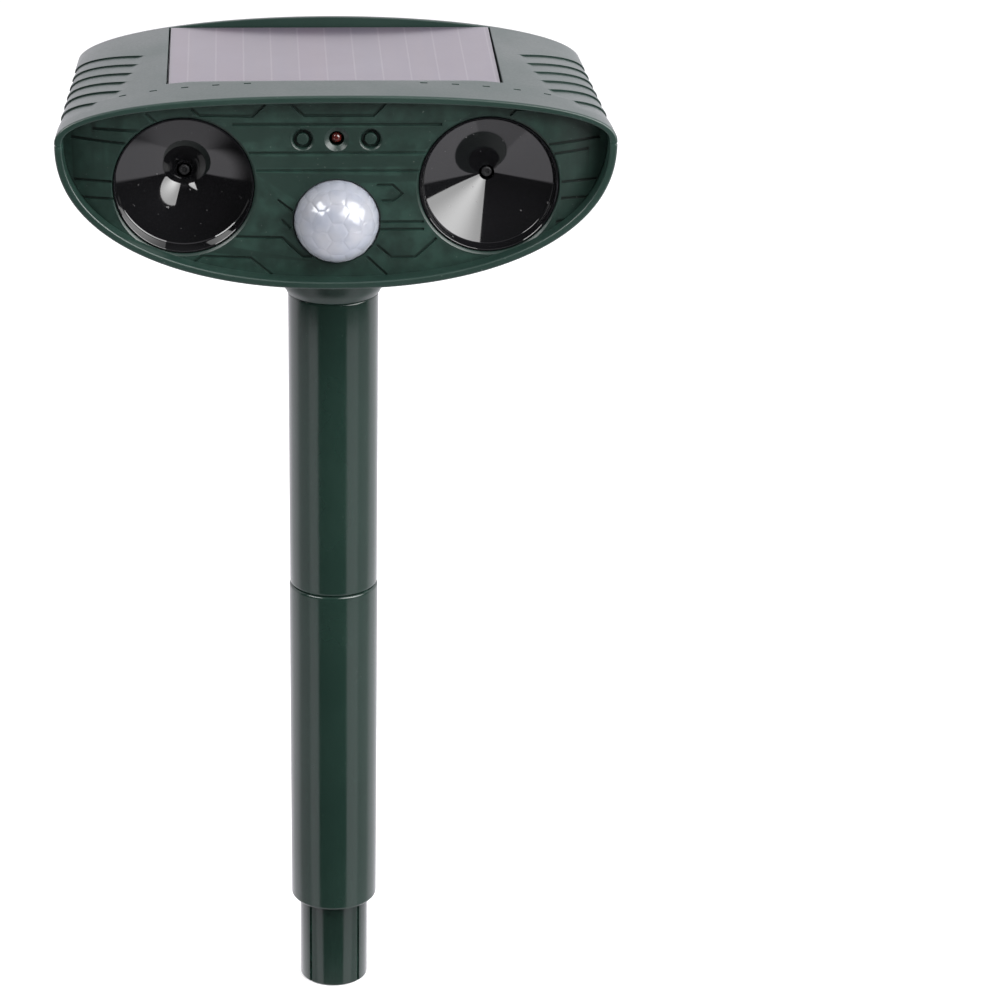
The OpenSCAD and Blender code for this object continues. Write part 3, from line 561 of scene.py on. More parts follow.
def keel_row(y, inset):
    """Points of the keel on one row, from right to left."""
    w, _, keel, _ = shape_at(y)
    a_seam = math.asin((0.3 / keel) ** (KEEL_N / 2))
    angles = a_seam + (math.pi / 2 - a_seam) * np.linspace(0, 1, 91)
    x = w * np.cos(angles) ** (2 / KEEL_N)
    z = keel * np.sin(angles) ** (2 / KEEL_N)
    way = side_way(x, z)
    # the gills mirror those of the crown, so they lean less and less on the way down
    drop = 30 - way
    tips = [30 - np.interp(-g[1] - 3, -x, way) for g in GILLS]
    ys = slanted(y, np.minimum(drop, 26), tips)
    w2, _, keel2, _ = shape_at(ys)
    delta = gill_depth(y, drop, tips) + inset
    x = (w2 - delta) * np.cos(angles) ** (2 / KEEL_N)
    z = (keel2 - delta) * np.sin(angles) ** (2 / KEEL_N)
    end = np.array([[w2[0] - delta[0] - 0.28, ys[0], -0.05]])
    right = np.concatenate([end, np.stack([x, ys, -z], 1)])
    left = (right[:-1] * np.array([-1, 1, 1]))[::-1]
    return np.concatenate([right, left])


def edge_rows(radius, steps, front):
    """(depth, inset) pairs of a rounded edge at the rim or the rear."""
    pairs = []
    for k in range(steps + 1):
        a = math.pi / 2 * k / steps
        y = -RIM_Y + radius * (1 - math.sin(a)) if front else REAR_Y - radius * (1 - math.sin(a))
        pairs.append((y, radius * (1 - math.cos(a))))
    return pairs[::-1] if front else pairs


def closed_grid(name, rows):
    """A solid from open rows of equal length: front and rear caps and one flat side along the rows' ends."""
    rows = np.array(rows)
    n, m = rows.shape[:2]
    index = np.arange(n * m).reshape(n, m)
    faces = []
    for i in range(n - 1):
        a, b = index[i], index[i + 1]
        faces += [(a[j], a[j + 1], b[j + 1], b[j]) for j in range(m - 1)]
    faces.append(tuple(index[0]))
    faces.append(tuple(index[-1][::-1]))
    faces.append(tuple(index[:, 0]) + tuple(index[::-1, -1]))
    return mesh_object(name, rows.reshape(-1, 3), faces)


POCKET_X = 45.4
POCKET_FRONT = -25.4
POCKET_REAR = 35.4
POCKET_EDGE = 0.35


def sink_pocket(x, y, z):
    """Lowers the crown into the pocket that holds the solar panel, with a lead-in along its front edge."""
    inside_x = np.abs(x) <= POCKET_X + POCKET_EDGE
    if -31 <= y <= POCKET_FRONT:
        lead = 261.6 - (y + 31) * 0.325
        fade = np.clip((POCKET_X + 1 - np.abs(x)) / 1.0, 0, 1)
        z = np.where(np.abs(x) < 49, np.minimum(z, lead + (1 - fade) * 4), z)
    d = np.maximum(np.abs(x) - POCKET_X, max(POCKET_FRONT - y, y - POCKET_REAR))
    d = np.where(np.abs(x) > 50, 99.0, d)
    near = (d >= 0) & (d < POCKET_EDGE)
    inward = POCKET_EDGE - np.clip(d, 0, POCKET_EDGE)
    drop = POCKET_EDGE - np.sqrt(np.maximum(POCKET_EDGE ** 2 - inward ** 2, 0))
    z = np.where(near & inside_x, z - drop, z)
    return np.where(d < -0.005, POCKET_Z, z)


def head_rows(depths):
    """(depth, inset) pairs of a casing's rows, with its rounded edges at the rim and the rear."""
    between = [(y, 0.0) for y in sorted(depths) if ROW_FRONT < y < ROW_REAR]
    return edge_rows(RIM_ROUND, 5, True) + between + edge_rows(REAR_ROUND, 6, False)


def build_top():
    """Top casing: the crown with its gills and the pocket for the solar panel."""
    depths = [-31.05, -31, -29.5, -28, -26.5] + list(np.arange(-44, 36.4, 2.0)) + gill_rows()
    for k in (0.0, 0.06, 0.13, 0.22, POCKET_EDGE):
        depths += [POCKET_FRONT - k, POCKET_REAR + k]
    walls = [POCKET_FRONT + 0.02, POCKET_REAR - 0.02]
    depths = [y for y in tidy_rows(depths) if min(abs(y - wall) for wall in walls) > ROW_GAP] + walls
    rows = []
    for y, inset in head_rows(depths):
        row = crown_row(y, inset)
        row[:, 2] = sink_pocket(row[:, 0], y, MID_Z + row[:, 2])
        rows.append(row)
    return closed_grid("top_casing", rows)


def build_bottom():
    """Bottom casing: the keel with its gills."""
    rows = []
    for y, inset in head_rows(tidy_rows(list(np.arange(-44, 36.4, 2.4)) + gill_rows())):
        row = keel_row(y, inset)
        row[:, 2] += MID_Z
        rows.append(row)
    return closed_grid("bottom_casing", rows)


def outline(y, inset):
    """Points round the head's outline at a depth: the crown from left to right, then the keel back again."""
    w, crown, keel, n = shape_at(y)
    turn = np.linspace(0, math.pi, 121)[:-1]
    across, rise = np.cos(turn), np.sin(turn)

    def bent(values, exponent):
        return np.sign(values) * np.abs(values) ** (2 / exponent)

    x = (w - inset) * np.concatenate([-bent(across, n), bent(across, KEEL_N)])
    z = np.concatenate([(crown - inset) * bent(rise, n), -(keel - inset) * bent(rise, KEEL_N)])
    return np.stack([x, np.full_like(x, y), MID_Z + z], 1)


def build_cavity():
    """The hollow of the head: wider behind the panel, and low under the solar pocket."""
    lip, rim_wall, lip_round = 1.55, 2.1, 0.55
    pairs = [(-46.5, lip), (-RIM_Y, lip)]
    pairs += [(-44.45 - lip_round * math.cos(a), rim_wall - lip_round * (1 - math.sin(a)))
              for a in np.radians([18, 36, 54, 72, 90])]
    pairs.append((-40.51, rim_wall))
    pairs += [(y, CASE_WALL) for y in (-PANEL_Y, -37, -30, -27.62, -27.6, -10, 10, 30, 35.9)]
    rings = []
    for y, inset in pairs:
        ring = outline(y, inset)
        if y > -27.61:
            under = np.abs(ring[:, 0]) < 47.4
            ring[under, 2] = np.minimum(ring[under, 2], ROOF_Z)
        rings.append(ring)
    return loft("hollow", rings)


top = build_top()
cut(top, build_cavity())
# small notches along the front edge of the crown
notches = []
for x in (23.6, 32.1, 40.4, 48.8, 57.0):
    for side in (-1, 1):
        w, crown, _, n = shape_at(-31.2)
        z = MID_Z + crown * (1 - (x / w) ** n) ** (1 / n)
        middle = side * x
        notches.append(soft_box("notch", middle - 1, middle + 1, -31.5, -30.6, z - 0.5, z + 1, 0.15, 2))
cut(top, merged("notches", notches))
cut(top, soft_box("seam", -80, 80, 37.6, 40, MID_Z - 1, MID_Z + 0.22))
finish_piece(top, "head", ["top_shell"], shell_green, 40)

# Places of the casing screws, from below
BOSSES = [(-54, -5), (54, -5), (-33, 19), (33, 19)]


def keel_height(x, y):
    """Height of the underside."""
    w, _, keel, _ = shape_at(y)
    return MID_Z - keel * (1 - (abs(x) / w) ** KEEL_N) ** (1 / KEEL_N)


def spigot_profile(seat):
    """Outside of a spigot, from its hollow foot up to the seat."""
    foot = [(SPIGOT_BORE_R, 0), (9.5, 0), (9.72, 0.06), (9.92, 0.25), (SPIGOT_R, 0.55)]
    return moved(foot, seat - SPIGOT_LEN) + [(SPIGOT_R, seat)]


def spigot_grooves(seat):
    """Cutters for the four key grooves of a spigot."""
    grooves = []
    for a in (45, 135, 225, 315):
        g = soft_box("groove", SPIGOT_R - 0.6, 11.4, -0.45, 0.45, seat - 28, seat - 0.4)
        turn = math.radians(a)
        for v in g.data.vertices:
            x, y = v.co.x, v.co.y
            v.co.x = x * math.cos(turn) - y * math.sin(turn)
            v.co.y = x * math.sin(turn) + y * math.cos(turn)
        grooves.append(g)
    return merged("grooves", grooves)


bottom = build_bottom()
cut(bottom, build_cavity())
collar = spigot_profile(COLLAR_Z) + moved([
    (12.85, 0), (13.05, 0.08), (13.2, 0.3), (13.5, 0.9), (13.95, 1.6), (14.3, 2.5), (14.45, 3.6), (14.55, 5.0),
    (14.7, 5.25), (14.95, 5.6), (15.1, 6.1), (15.1, 13.7), (15.25, 14.9), (15.7, 15.9), (16.4, 16.8),
    (17.4, 17.4), (17.4, 17.8), (15.0, 19.5), (SPIGOT_BORE_R, 19.5)], COLLAR_Z)
join(bottom, revolve("collar", collar, (0, 0), "z", 160))
cut(bottom, spigot_grooves(COLLAR_Z))
openings = [
    soft_box("bay", -26.2, 26.2, 34, 40, MID_Z - 33.5, MID_Z - 1.7),
    rod("left_bush", -KNOB_X, KNOB_Z, 34, 39, 3.7), rod("right_bush", KNOB_X, KNOB_Z, 34, 39, 3.7),
    soft_box("slot", -60.7, -57.3, 34, 39, 235.2, 242.4), soft_box("port", 54.7, 63.3, 34, 39, 237.85, 241.75)]
cut(bottom, merged("openings", openings))
cut(bottom, soft_box("recess", -30.2, 30.2, 36.1, 40, MID_Z - 34.0, MID_Z - 1.4))
cut(bottom, soft_box("seam", -80, 80, 37.6, 40, MID_Z - 0.22, MID_Z + 1))
wells = []
for x, y in BOSSES:
    well = [(0, -12), (3.3, -12), (3.3, -0.05), (2.8, 1.2), (2.8, 5), (1.6, 5), (1.6, 12), (0, 12)]
    wells.append(revolve("well", moved(well, keel_height(x, y)), (x, y), "z", 48))
cut(bottom, merged("wells", wells))
# scale marks round the knobs, every fifth one larger
ticks = []
for knob_x in (-KNOB_X, KNOB_X):
    for k in range(11):
        a = math.radians(225 - 27 * k)
        x, z = knob_x - 9.4 * math.cos(a), KNOB_Z + 9.4 * math.sin(a)
        ticks.append(rod("tick", x, z, 37.5, 38.25, 0.32 if k % 5 else 0.5, 0.1, 20))
join(bottom, merged("ticks", ticks))
finish_piece(bottom, "head", ["bottom_shell"], shell_green, 40)


# ---- front panel

# Engraved lines: chains of (x, height above the seam)
TRACES = [
    [(-38.5, 8.7), (-36.5, 7), (-22.5, 6.7), (-19.3, 9.8)],
    [(-11.7, 9.6), (-8.8, 6.9), (9.8, 6.8), (12.8, 10)],
    [(-27.5, 4.4), (27.9, 4.3)],
    [(-23.2, -3.5), (24, -3.6)],
    [(-21.3, -8.4), (23.2, -8.7)],
    [(11, -12.6), (15, -12.6), (17.6, -15.1), (15, -17), (12.3, -17)],
    [(12, -23), (23.2, -23)],
    [(11.5, -25.1), (23.3, -25.1)],
    [(11, -29.7), (14.7, -33), (21.1, -33), (26.7, -27.8)],
    [(8.3, -33), (13.4, -38)],
    [(-15.7, -16.8), (-12, -19.7)],
    [(-14.6, -22.4), (-12.5, -24.6)],
    [(-26.8, -27), (-14.6, -27.3), (-9, -32.7), (-6.9, -32.7)],
    [(-38.6, -34.1), (-36.5, -32.4), (-23.2, -33), (-17.7, -37.7)],
    [(-64.5, 3.3), (-52, 2.7)],
    [(-70.3, 0.6), (-55, -0.9)],
    [(-69.9, -11.1), (-60.4, -11.4)],
    [(-69.4, -16), (-59.9, -16.2)],
    [(-50.5, 7.4), (-47.8, 4.9)],
    [(57.1, -1.5), (70.5, 0)],
    [(58.7, -4.1), (67.5, -3.1)],
    [(60.8, -12.1), (70, -11.7)],
    [(60.8, -16.7), (69, -16.7)],
    [(59.5, -23.3), (64.6, -22.2)],
    [(46.4, 6.9), (47.8, 8.3), (53.6, 8.3)],
]


def panel_fall(x):
    """How far the panel falls back towards its ends."""
    return 3 * (max(abs(x) - 56, 0) / 17) ** 1.6


# Section of an engraved line: (across, depth below the face)
TRACE_SHAPE = [(-0.52, -0.6), (-0.42, 0.0), (-0.32, 0.52), (0.32, 0.52), (0.42, 0.0), (0.52, -0.6)]


def trace_solid(line):
    """A groove cutter with sloping sides along a chain of points."""
    fine = []
    for a, b in zip(line, line[1:]):
        far = max(abs(a[0]), abs(b[0])) > 54
        steps = max(1, int(math.dist(a, b) / 1.0)) if far else 1
        fine += [(a[0] + (b[0] - a[0]) * k / steps, a[1] + (b[1] - a[1]) * k / steps) for k in range(steps)]
    fine.append(line[-1])
    p = np.array(fine, float)
    rings = []
    n = len(p)
    for i in range(n):
        d0 = p[i] - p[i - 1] if i > 0 else p[1] - p[0]
        d1 = p[i + 1] - p[i] if i < n - 1 else p[-1] - p[-2]
        d0, d1 = d0 / np.linalg.norm(d0), d1 / np.linalg.norm(d1)
        side = np.array([-(d0 + d1)[1], (d0 + d1)[0]])
        side /= np.linalg.norm(side)
        side /= max(0.3, side @ np.array([-d1[1], d1[0]]))
        along = -d0 * 0.3 if i == 0 else (d1 * 0.3 if i == n - 1 else np.zeros(2))
        y = -PANEL_Y + panel_fall(p[i][0])
        ring = [(*(p[i] + side * half + along), y + deep) for half, deep in TRACE_SHAPE]
        rings.append([(x, depth, MID_Z + z) for x, z, depth in ring])
    return loft("trace", rings)


def face_cutter(x, z, profile, steps):
    """Turned cutter for a hole in the panel. profile is (radius, depth behind the face)."""
    closed = [(0, profile[0][1])] + profile + [(0, profile[-1][1])]
    return revolve("hole", moved(closed, -PANEL_Y), (x, z), "y", steps)


def build_panel():
    """Plate that falls back towards both ends, trimmed to the casing, with its openings and traces."""
    ends = [56 + 19 * k / 14 for k in range(15)]
    xs = [-v for v in ends[::-1]] + ends
    front = [(x, -PANEL_Y + panel_fall(x)) for x in xs]
    back = [(x, y + 2) for x, y in front[::-1]]
    loop = front + back
    n, m = len(loop), len(xs)
    points = [(x, y, MID_Z - 45) for x, y in loop] + [(x, y, MID_Z + 20) for x, y in loop]
    faces = ring_faces(2, n)
    for base in (0, n):
        faces += [(base + i, base + i + 1, base + n - 2 - i, base + n - 1 - i) for i in range(m - 1)]
    slab = mesh_object("front_plate", points, faces)
    ring = outline(-36.5, CASE_WALL + 0.12)
    boolean(slab, loft("outline", [ring * (1, 0, 1) + (0, y, 0) for y in (-RIM_Y, -RIM_Y + 12)]), "INTERSECT")
    horn_hole = [(20.2, -3), (19.85, -0.3), (19.68, -0.02), (19.5, 0.12), (19.1, 0.52), (19.0, 0.7), (19.0, 12)]
    for x in (-HORN_X, HORN_X):
        cut(slab, face_cutter(x, HORN_Z, horn_hole, 192))
    dome_hole = [(12.1, -2), (12.0, -0.01), (11.8, 0.14), (11.75, 0.3), (11.75, 5)]
    led_hole = [(3.5, -2), (3.34, -0.01), (3.2, 0.10), (2.55, 0.66), (2.25, 0.8), (2.05, 0.95), (2.05, 5)]
    plug_hole = [(3.25, -2), (3.12, -0.01), (3.0, 0.08), (2.68, 0.42), (2.6, 0.6), (2.6, 5)]
    small = [face_cutter(0, DOME_Z, dome_hole, 160), face_cutter(0, LED_Z, led_hole, 96)]
    small += [face_cutter(x, LED_Z, plug_hole, 96) for x in (-PLUG_X, PLUG_X)]
    cut(slab, merged("holes", small))
    cut(slab, merged("traces", [trace_solid(t) for t in TRACES]))
    return slab


panel = build_panel()
finish_piece(panel, "head", ["front_panel"], panel_green, 30)


# ---- horns, sensor dome, indicator

THROAT_R = 2.1
FLARED_R, FLARED_Y = 18.2, -33.6
CONE_R, CONE_Y = 17.4, -37.2


def build_horn(name, x, sleeve_end, bell):
    """Sleeve, bell and rear flange, turned as one piece. bell is [radius, depth] from mouth to throat."""
    out, flange, flange_r, wall, back = 18.85, -38.05, 19.3, 1.2, -20.4
    outside = [(r + wall, y + wall) for r, y in bell[::-1] if y + wall < -21.9 and r + wall < out - 0.4]
    profile = [(out, -39.85), (18.75, -40.0), (18.45, -40.0), (18.35, -39.9), (18.3, -39.5),
               (bell[0][0] + 0.25, sleeve_end - 0.25), (bell[0][0], sleeve_end)]
    profile += bell + [(THROAT_R, back), (14, back), (14, back - 1.4), (4.3, back - 1.4)] + outside
    profile += [(out, sleeve_end + wall), (out, flange + wall), (flange_r, flange + wall), (flange_r, flange),
                (out, flange)]
    return revolve(name, profile, (x, HORN_Z), "y", 192)


def flared_bell():
    """Trumpet curve: a slight slope plus a logarithm that makes it steep towards the throat."""
    radii = [FLARED_R * (THROAT_R / FLARED_R) ** (k / 48) for k in range(49)]
    return [(r, FLARED_Y + 0.246 * (FLARED_R - r) + 1.888 * math.log(FLARED_R / r)) for r in radii]


def straight_bell():
    """Plain cone."""
    depth = 8.2
    return [(CONE_R + (THROAT_R - CONE_R) * k / 24, CONE_Y + depth * k / 24) for k in range(25)]


for name, x, end, bell in (("horn_left", -HORN_X, FLARED_Y, flared_bell()),
                           ("horn_right", HORN_X, CONE_Y, straight_bell())):
    finish_piece(build_horn(name + "_bell", x, end, bell), "head", [name], horn_black, 32, False)
for name, x, tip in (("drive_pin_left", -HORN_X, -25.6), ("drive_pin_right", HORN_X, -28.4)):
    nose = [(0, 0.35), (0.55, 0.3), (0.75, 0.02), (0.95, 0), (1.25, 0.05), (1.45, 0.25), (1.5, 0.6)]
    foot = [(1.5, -16.2), (2.4, -16.2), (2.4, -15.2), (0, -15.2)]
    pin = revolve(name + "_turned", moved(nose, tip) + foot, (x, HORN_Z), "y", 64)
    finish_piece(pin, "head", [name], matt_black, 40, False)


def off_axis(polar, turn):
    """Unit vector at an angle off the dome's axis, turned about it."""
    return np.array([math.sin(polar) * math.cos(turn), math.sin(polar) * math.sin(turn), math.cos(polar)])


def lens_cells():
    """Directions of the lens cells: one in the middle, then rings of (number, degrees off the axis, turn)."""
    cells = [off_axis(0.0, 0.0)]
    for number, polar, turn in ((6, 25.5, 30), (12, 50, 0), (18, 74, 10)):
        cells += [off_axis(math.radians(polar), TAU * k / number + math.radians(turn)) for k in range(number)]
    return np.array(cells)


def build_dome():
    """Thin dome whose lens cells bulge a little, so their borders show as a honeycomb."""
    cells = lens_cells()
    centre_y, r_out, skin = -38.9, 11.6, 0.8
    steps, rings = 240, 90
    points, faces = [], []

    def surface(r, bulge):
        start = len(points)
        for i in range(rings + 1):
            for j in range(steps):
                d = off_axis(math.pi / 2 * i / rings, TAU * j / steps)
                drop = 0.0
                if bulge:
                    far = np.sort(np.arccos(np.clip(cells @ d, -1, 1)))
                    border = (far[1] - far[0]) * 0.5 * r
                    drop = 0.06 * math.exp(-(border / 0.24) ** 2) + 0.13 * max(0.0, 1 - border / 2.6) ** 1.5
                q = d * (r - drop)
                points.append((q[0], centre_y - q[2], DOME_Z + q[1]))
        faces.extend(ring_faces(rings + 1, steps, start))
        return start + rings * steps

    outer = surface(r_out, True)
    inner = surface(r_out - skin, False)
    rims = []
    around = [TAU * j / steps for j in range(steps)]
    for r, y in ((r_out, -38.5), (13.2, -38.5), (13.2, -37.5), (r_out - skin, -37.5)):
        rims.append(len(points))
        points.extend((r * math.cos(a), y, DOME_Z + r * math.sin(a)) for a in around)
    chain = [outer] + rims + [inner]
    for a, b in zip(chain, chain[1:]):
        faces.extend((a + j, a + (j + 1) % steps, b + (j + 1) % steps, b + j) for j in range(steps))
    return mesh_object("sensor_dome", points, faces, weld=True)


finish_piece(build_dome(), "head", ["pir_lens"], milky, 50, False)

LED_R = 1.5
tip = [(LED_R * math.cos(a), -38 - LED_R * math.sin(a)) for a in np.linspace(0, math.pi / 2, 13)]
foot = [(0, -32.6), (1.9, -32.6), (1.9, -33.6), (LED_R, -33.6)]
led = revolve("indicator_lens", foot + tip, (0, LED_Z), "y", 64)
legs = []
for x in (-0.635, 0.635):
    legs.append(soft_box("leg", x - 0.2, x + 0.2, -33.2, -29.2, LED_Z - 0.2, LED_Z + 0.2, 0.05, 2))
join(led, merged("legs", legs))
finish_piece(led, "head", ["status_led"], red_lens, 40, False)

plug = moved([(0, 0.3), (1.0, 0.27), (1.45, 0.32), (1.62, 0.5), (1.65, 0.8), (1.65, 1.85), (2.55, 1.9),
              (2.55, 2), (3.6, 2), (3.6, 3), (0, 3)], -PANEL_Y)
plugs = [revolve("plug", plug, (x, LED_Z), "y", 64) for x in (-PLUG_X, PLUG_X)]
finish_piece(merged("blanking_plugs", plugs), "head", ["blank_plugs"], panel_green, 40, False)


# ---- solar panel

solar = soft_box("solar_laminate", -45, 45, -25, 35, SOLAR_TOP - 2.2, SOLAR_TOP, 0.28, 4)
finish_piece(solar, "head", ["solar_panel"], solar_cells, 40)


# ---- pole

TUBE_LOW_R, TUBE_TOP_R = 12.65, 12.8
FOOT_ROUND, TOP_ROUND = 1.0, 0.8
BORE_R, BORE_DEPTH = 10.05, 28.5


def build_section(name, z0, z1, body, node):
    """Tapered tube with rounded ends, plain bore above and grooved spigot below."""
    quarter = math.pi / 2
    profile = spigot_profile(z0)
    profile += [(TUBE_LOW_R - FOOT_ROUND * (1 - math.sin(a)), z0 + FOOT_ROUND * (1 - math.cos(a)))
                for a in np.linspace(0, quarter, 9)]
    profile += [(TUBE_LOW_R + (TUBE_TOP_R - TUBE_LOW_R) * k / 6, z0 + (z1 - z0) * k / 6) for k in range(1, 6)]
    profile += [(TUBE_TOP_R - TOP_ROUND * (1 - math.cos(a)), z1 - TOP_ROUND * (1 - math.sin(a)))
                for a in np.linspace(0, quarter, 8)]
    floor_z = z1 - BORE_DEPTH
    profile += [(BORE_R + 0.2, z1), (BORE_R, z1 - 0.2), (BORE_R, floor_z), (SPIGOT_BORE_R, floor_z)]
    section = revolve(name, profile, (0, 0), "z", 160)
    cut(section, spigot_grooves(z0))
    return finish_piece(section, body, [node], tube_green, 35, False)


build_section("lower_pole", 0.0, JOINT_Z, "lower_section", "lower_tube")
build_section("upper_pole", JOINT_Z, COLLAR_Z, "upper_section", "upper_tube")


# ---- rear controls

def build_knob(name, x, body, node):
    """Fluted knob with a crowned face and a pointer groove."""
    face, radius, flute_r = 44.4, 7.0, 0.72
    side = [(0, 38.4), (6.7, 38.4), (6.95, 38.55), (radius, 38.8)]
    crown = [(radius, -1.0), (6.8, -0.45), (6.3, -0.12), (5.6, 0), (4.9, -0.05), (4.6, -0.3), (0, -0.42)]
    knob = revolve(name, side + moved(crown, face), (x, KNOB_Z), "y", 144)
    flutes = []
    for k in range(18):
        a = TAU * k / 18
        u, v = x + 7.3 * math.cos(a), KNOB_Z + 7.3 * math.sin(a)
        flutes.append(rod("flute", u, v, 39.4, face + 1, flute_r, 0.0, 20))
    flutes.append(rod("bore", x, KNOB_Z, 38.0, face - 1.2, 2.97))
    groove = soft_box("pointer", x - 0.42, x + 0.42, face - 0.95, face + 1, KNOB_Z + 1.4, KNOB_Z + 6.1, 0.1, 2)
    flutes.append(groove)
    cut(knob, merged("cuts", flutes))
    return finish_piece(knob, body, [node], matt_black, 32)


mark_white = moulded("pointer_white", (0.55, 0.55, 0.53), 0.5, grain=1500, edge=1.0, dust=0.0)
for dial, x in (("frequency", -KNOB_X), ("sensitivity", KNOB_X)):
    build_knob(f"{dial}_dial_knob", x, f"{dial}_dial", f"{dial}_knob")
    line = soft_box(f"{dial}_pointer", x - 0.36, x + 0.36, 43.5, 43.86, KNOB_Z + 1.5, KNOB_Z + 6.0, 0.1, 2)
    finish_piece(line, f"{dial}_dial", [], mark_white, 40)

HATCH_X = 30.0
door = soft_box("hatch", -HATCH_X, HATCH_X, 36.2, 38, MID_Z - 33.8, MID_Z - 1.6, 0.45, 4)
ribs = []
for k in range(-2, 3):
    z = HATCH_SCREW_Z + 2.4 * k
    ribs.append(soft_box("rib", -9, 9, 37.6, 38.5, z - 0.5, z + 0.5, 0.3, 3))
join(door, merged("ribs", ribs))
screw_hole = [(0, 35), (1.2, 35), (1.2, 37.1), (1.75, 37.1), (1.75, 37.9), (1.95, 38.1), (1.95, 39), (0, 39)]
cut(door, merged("holes", [revolve("hole", screw_hole, (x, HATCH_SCREW_Z), "y", 48)
                           for x in (-HATCH_SCREW_X, HATCH_SCREW_X)]))
corners = []
corner_z = MID_Z - 29.8
for x in (-HATCH_X, HATCH_X):
    block = soft_box("corner", min(x, x * 0.86), max(x, x * 0.86), 35, 39, MID_Z - 34.5, corner_z)
    cut(block, rod("round", x * 0.8667, corner_z, 34, 40, 4.0, 0.0, 96))
    corners.append(block)
cut(door, merged("corners", corners))
finish_piece(door, "battery_hatch", ["battery_door"], shell_green, 40)


def cross_screws(name, body, node, places, axis, way, head, thread, recess):
    """Cross-recess screws. places are (x, other, start, length under the head), and way is how they point."""
    crest, root, end, pitch, tip = thread
    wide, long, deep = recess
    top = head[-1][1]
    made = []
    for x, other, start, length in places:
        turns = int(length / pitch)
        profile = head + [(crest, top)]
        for k in range(turns):
            t = top + 0.2 + (length - 2 * tip) * k / turns
            profile += [(crest, t), (root, t + tip - 0.1)]
        profile += [(end, top + length - tip), (0, top + length)]
        piece = revolve("screw", moved(profile, start, way), (x, other), axis, 40)
        run = sorted((start - way, start + way * deep))
        for a, b in ((wide, long), (long, wide)):
            sides = [x - a, x + a, other - b, other + b]
            cut(piece, soft_box("slot", *(sides[:2] + run + sides[2:] if axis == "y" else sides + run)))
        made.append(piece)
    finish_piece(merged(name, made), body, [node], screw_metal, 35, False)


cross_screws("hatch_screws", "battery_hatch", "door_screws",
             [(x, HATCH_SCREW_Z, 38.1, 7.4) for x in (-HATCH_SCREW_X, HATCH_SCREW_X)], "y", -1,
             head=[(0, -0.05), (0.9075, 0.02), (1.485, 0.28), (1.65, 0.6), (1.65, 1.0)],
             thread=(1.1, 0.858, 0.77, 0.75, 0.4), recess=(0.19, 1.023, 0.6))
cross_screws("casing_screws", "head", "housing_screws",
             [(x, y, keel_height(x, y) + 3.2, MID_Z - 2 - keel_height(x, y)) for x, y in BOSSES], "z", 1,
             head=[(0, -0.05), (1.5, 0), (2.35, 0.35), (2.6, 0.9), (2.6, 1.8)],
             thread=(1.3, 1.02, 0.9, 0.9, 0.5), recess=(0.3, 1.6, 1.1))

slider = soft_box("slider_cap", -60.4, -57.6, 33.4, 39.4, 235.5, 239.1, 0.3, 3)
grips = [soft_box("grip", -60.4, -57.6, 39.2, 39.8, z, z + 0.6, 0.12, 2) for z in (235.8, 237.0, 238.2)]
join(slider, merged("grips", grips))
finish_piece(slider, "switch_slider", ["power_switch"], matt_black, 40)

flap = soft_box("port_flap_pad", 53, 65, 38, 39.2, 235.8, 243.8, 0.4, 4)
join(flap, soft_box("plug", 55.05, 62.95, 36.8, 38.3, 238.2, 241.4, 0.2, 3))
join(flap, soft_box("tab", 56.5, 61.5, 38.25, 40, 234.8, 236.2, 0.3, 3))
join(flap, revolve("bead", rounded([(0, 54), (0.6, 54), (0.6, 64), (0, 64)], 0.2, 3), (38.6, 244.0), "x", 32))
finish_piece(flap, "port_flap", ["charge_cover"], rubber, 40)


# ---- battery bay

CELL_Y = 29.6
CELL_Z = [MID_Z - 28.1, MID_Z - 17.6, MID_Z - 7.1]
CELL_FOOT_X = 25.6
CELL_R = 5.25


def build_cell(i):
    """A cell that lies across the bay; the middle one points the other way."""
    way, shade = (-1, (0.016, 0.12, 0.06)) if i == 1 else (1, (0.020, 0.16, 0.055))
    profile = [(0, 0), (1.7, 0), (1.9, 0.15), (1.9, 0.75), (2.1, 0.85), (4.6, 0.85), (4.75, 1.0), (4.85, 0.8),
               (5.1, 0.85), (CELL_R, 1.15), (CELL_R, 43.95), (5.1, 44.3), (4.8, 44.35), (4.7, 44.2),
               (4.55, 44.4), (4.3, 44.5), (0, 44.5)]
    piece = revolve(f"cell_{i + 1}", moved(profile, way * CELL_FOOT_X, -way), (CELL_Y, CELL_Z[i]), "x", 96)
    wrap = cell_material(f"cell_{i + 1}_sleeve", shade, (-0.0185, -0.0125) if way > 0 else (0.0125, 0.0185))
    finish_piece(piece, "head", [f"battery_cell_{i + 1}"], [wrap, plain_metal], 35, False)
    for p in piece.data.polygons:
        if math.hypot(p.center.y / MM - CELL_Y, p.center.z / MM - CELL_Z[i]) < 4.7:
            p.material_index = 1


for i in range(3):
    build_cell(i)


def coil(name, points, radius, sides):
    """A wire of round section along a list of points."""
    p = np.array(points, float)
    n = len(p)
    tangent = np.gradient(p, axis=0)
    tangent /= np.linalg.norm(tangent, axis=1)[:, None]
    rings = []
    for i in range(n):
        side = np.cross(tangent[i], (1.0, 0, 0))
        side /= np.linalg.norm(side)
        other = np.cross(side, tangent[i])
        angles = [TAU * k / sides for k in range(sides)]
        rings.append([p[i] + radius * (math.cos(a) * side + math.sin(a) * other) for a in angles])
    return loft(name, rings)


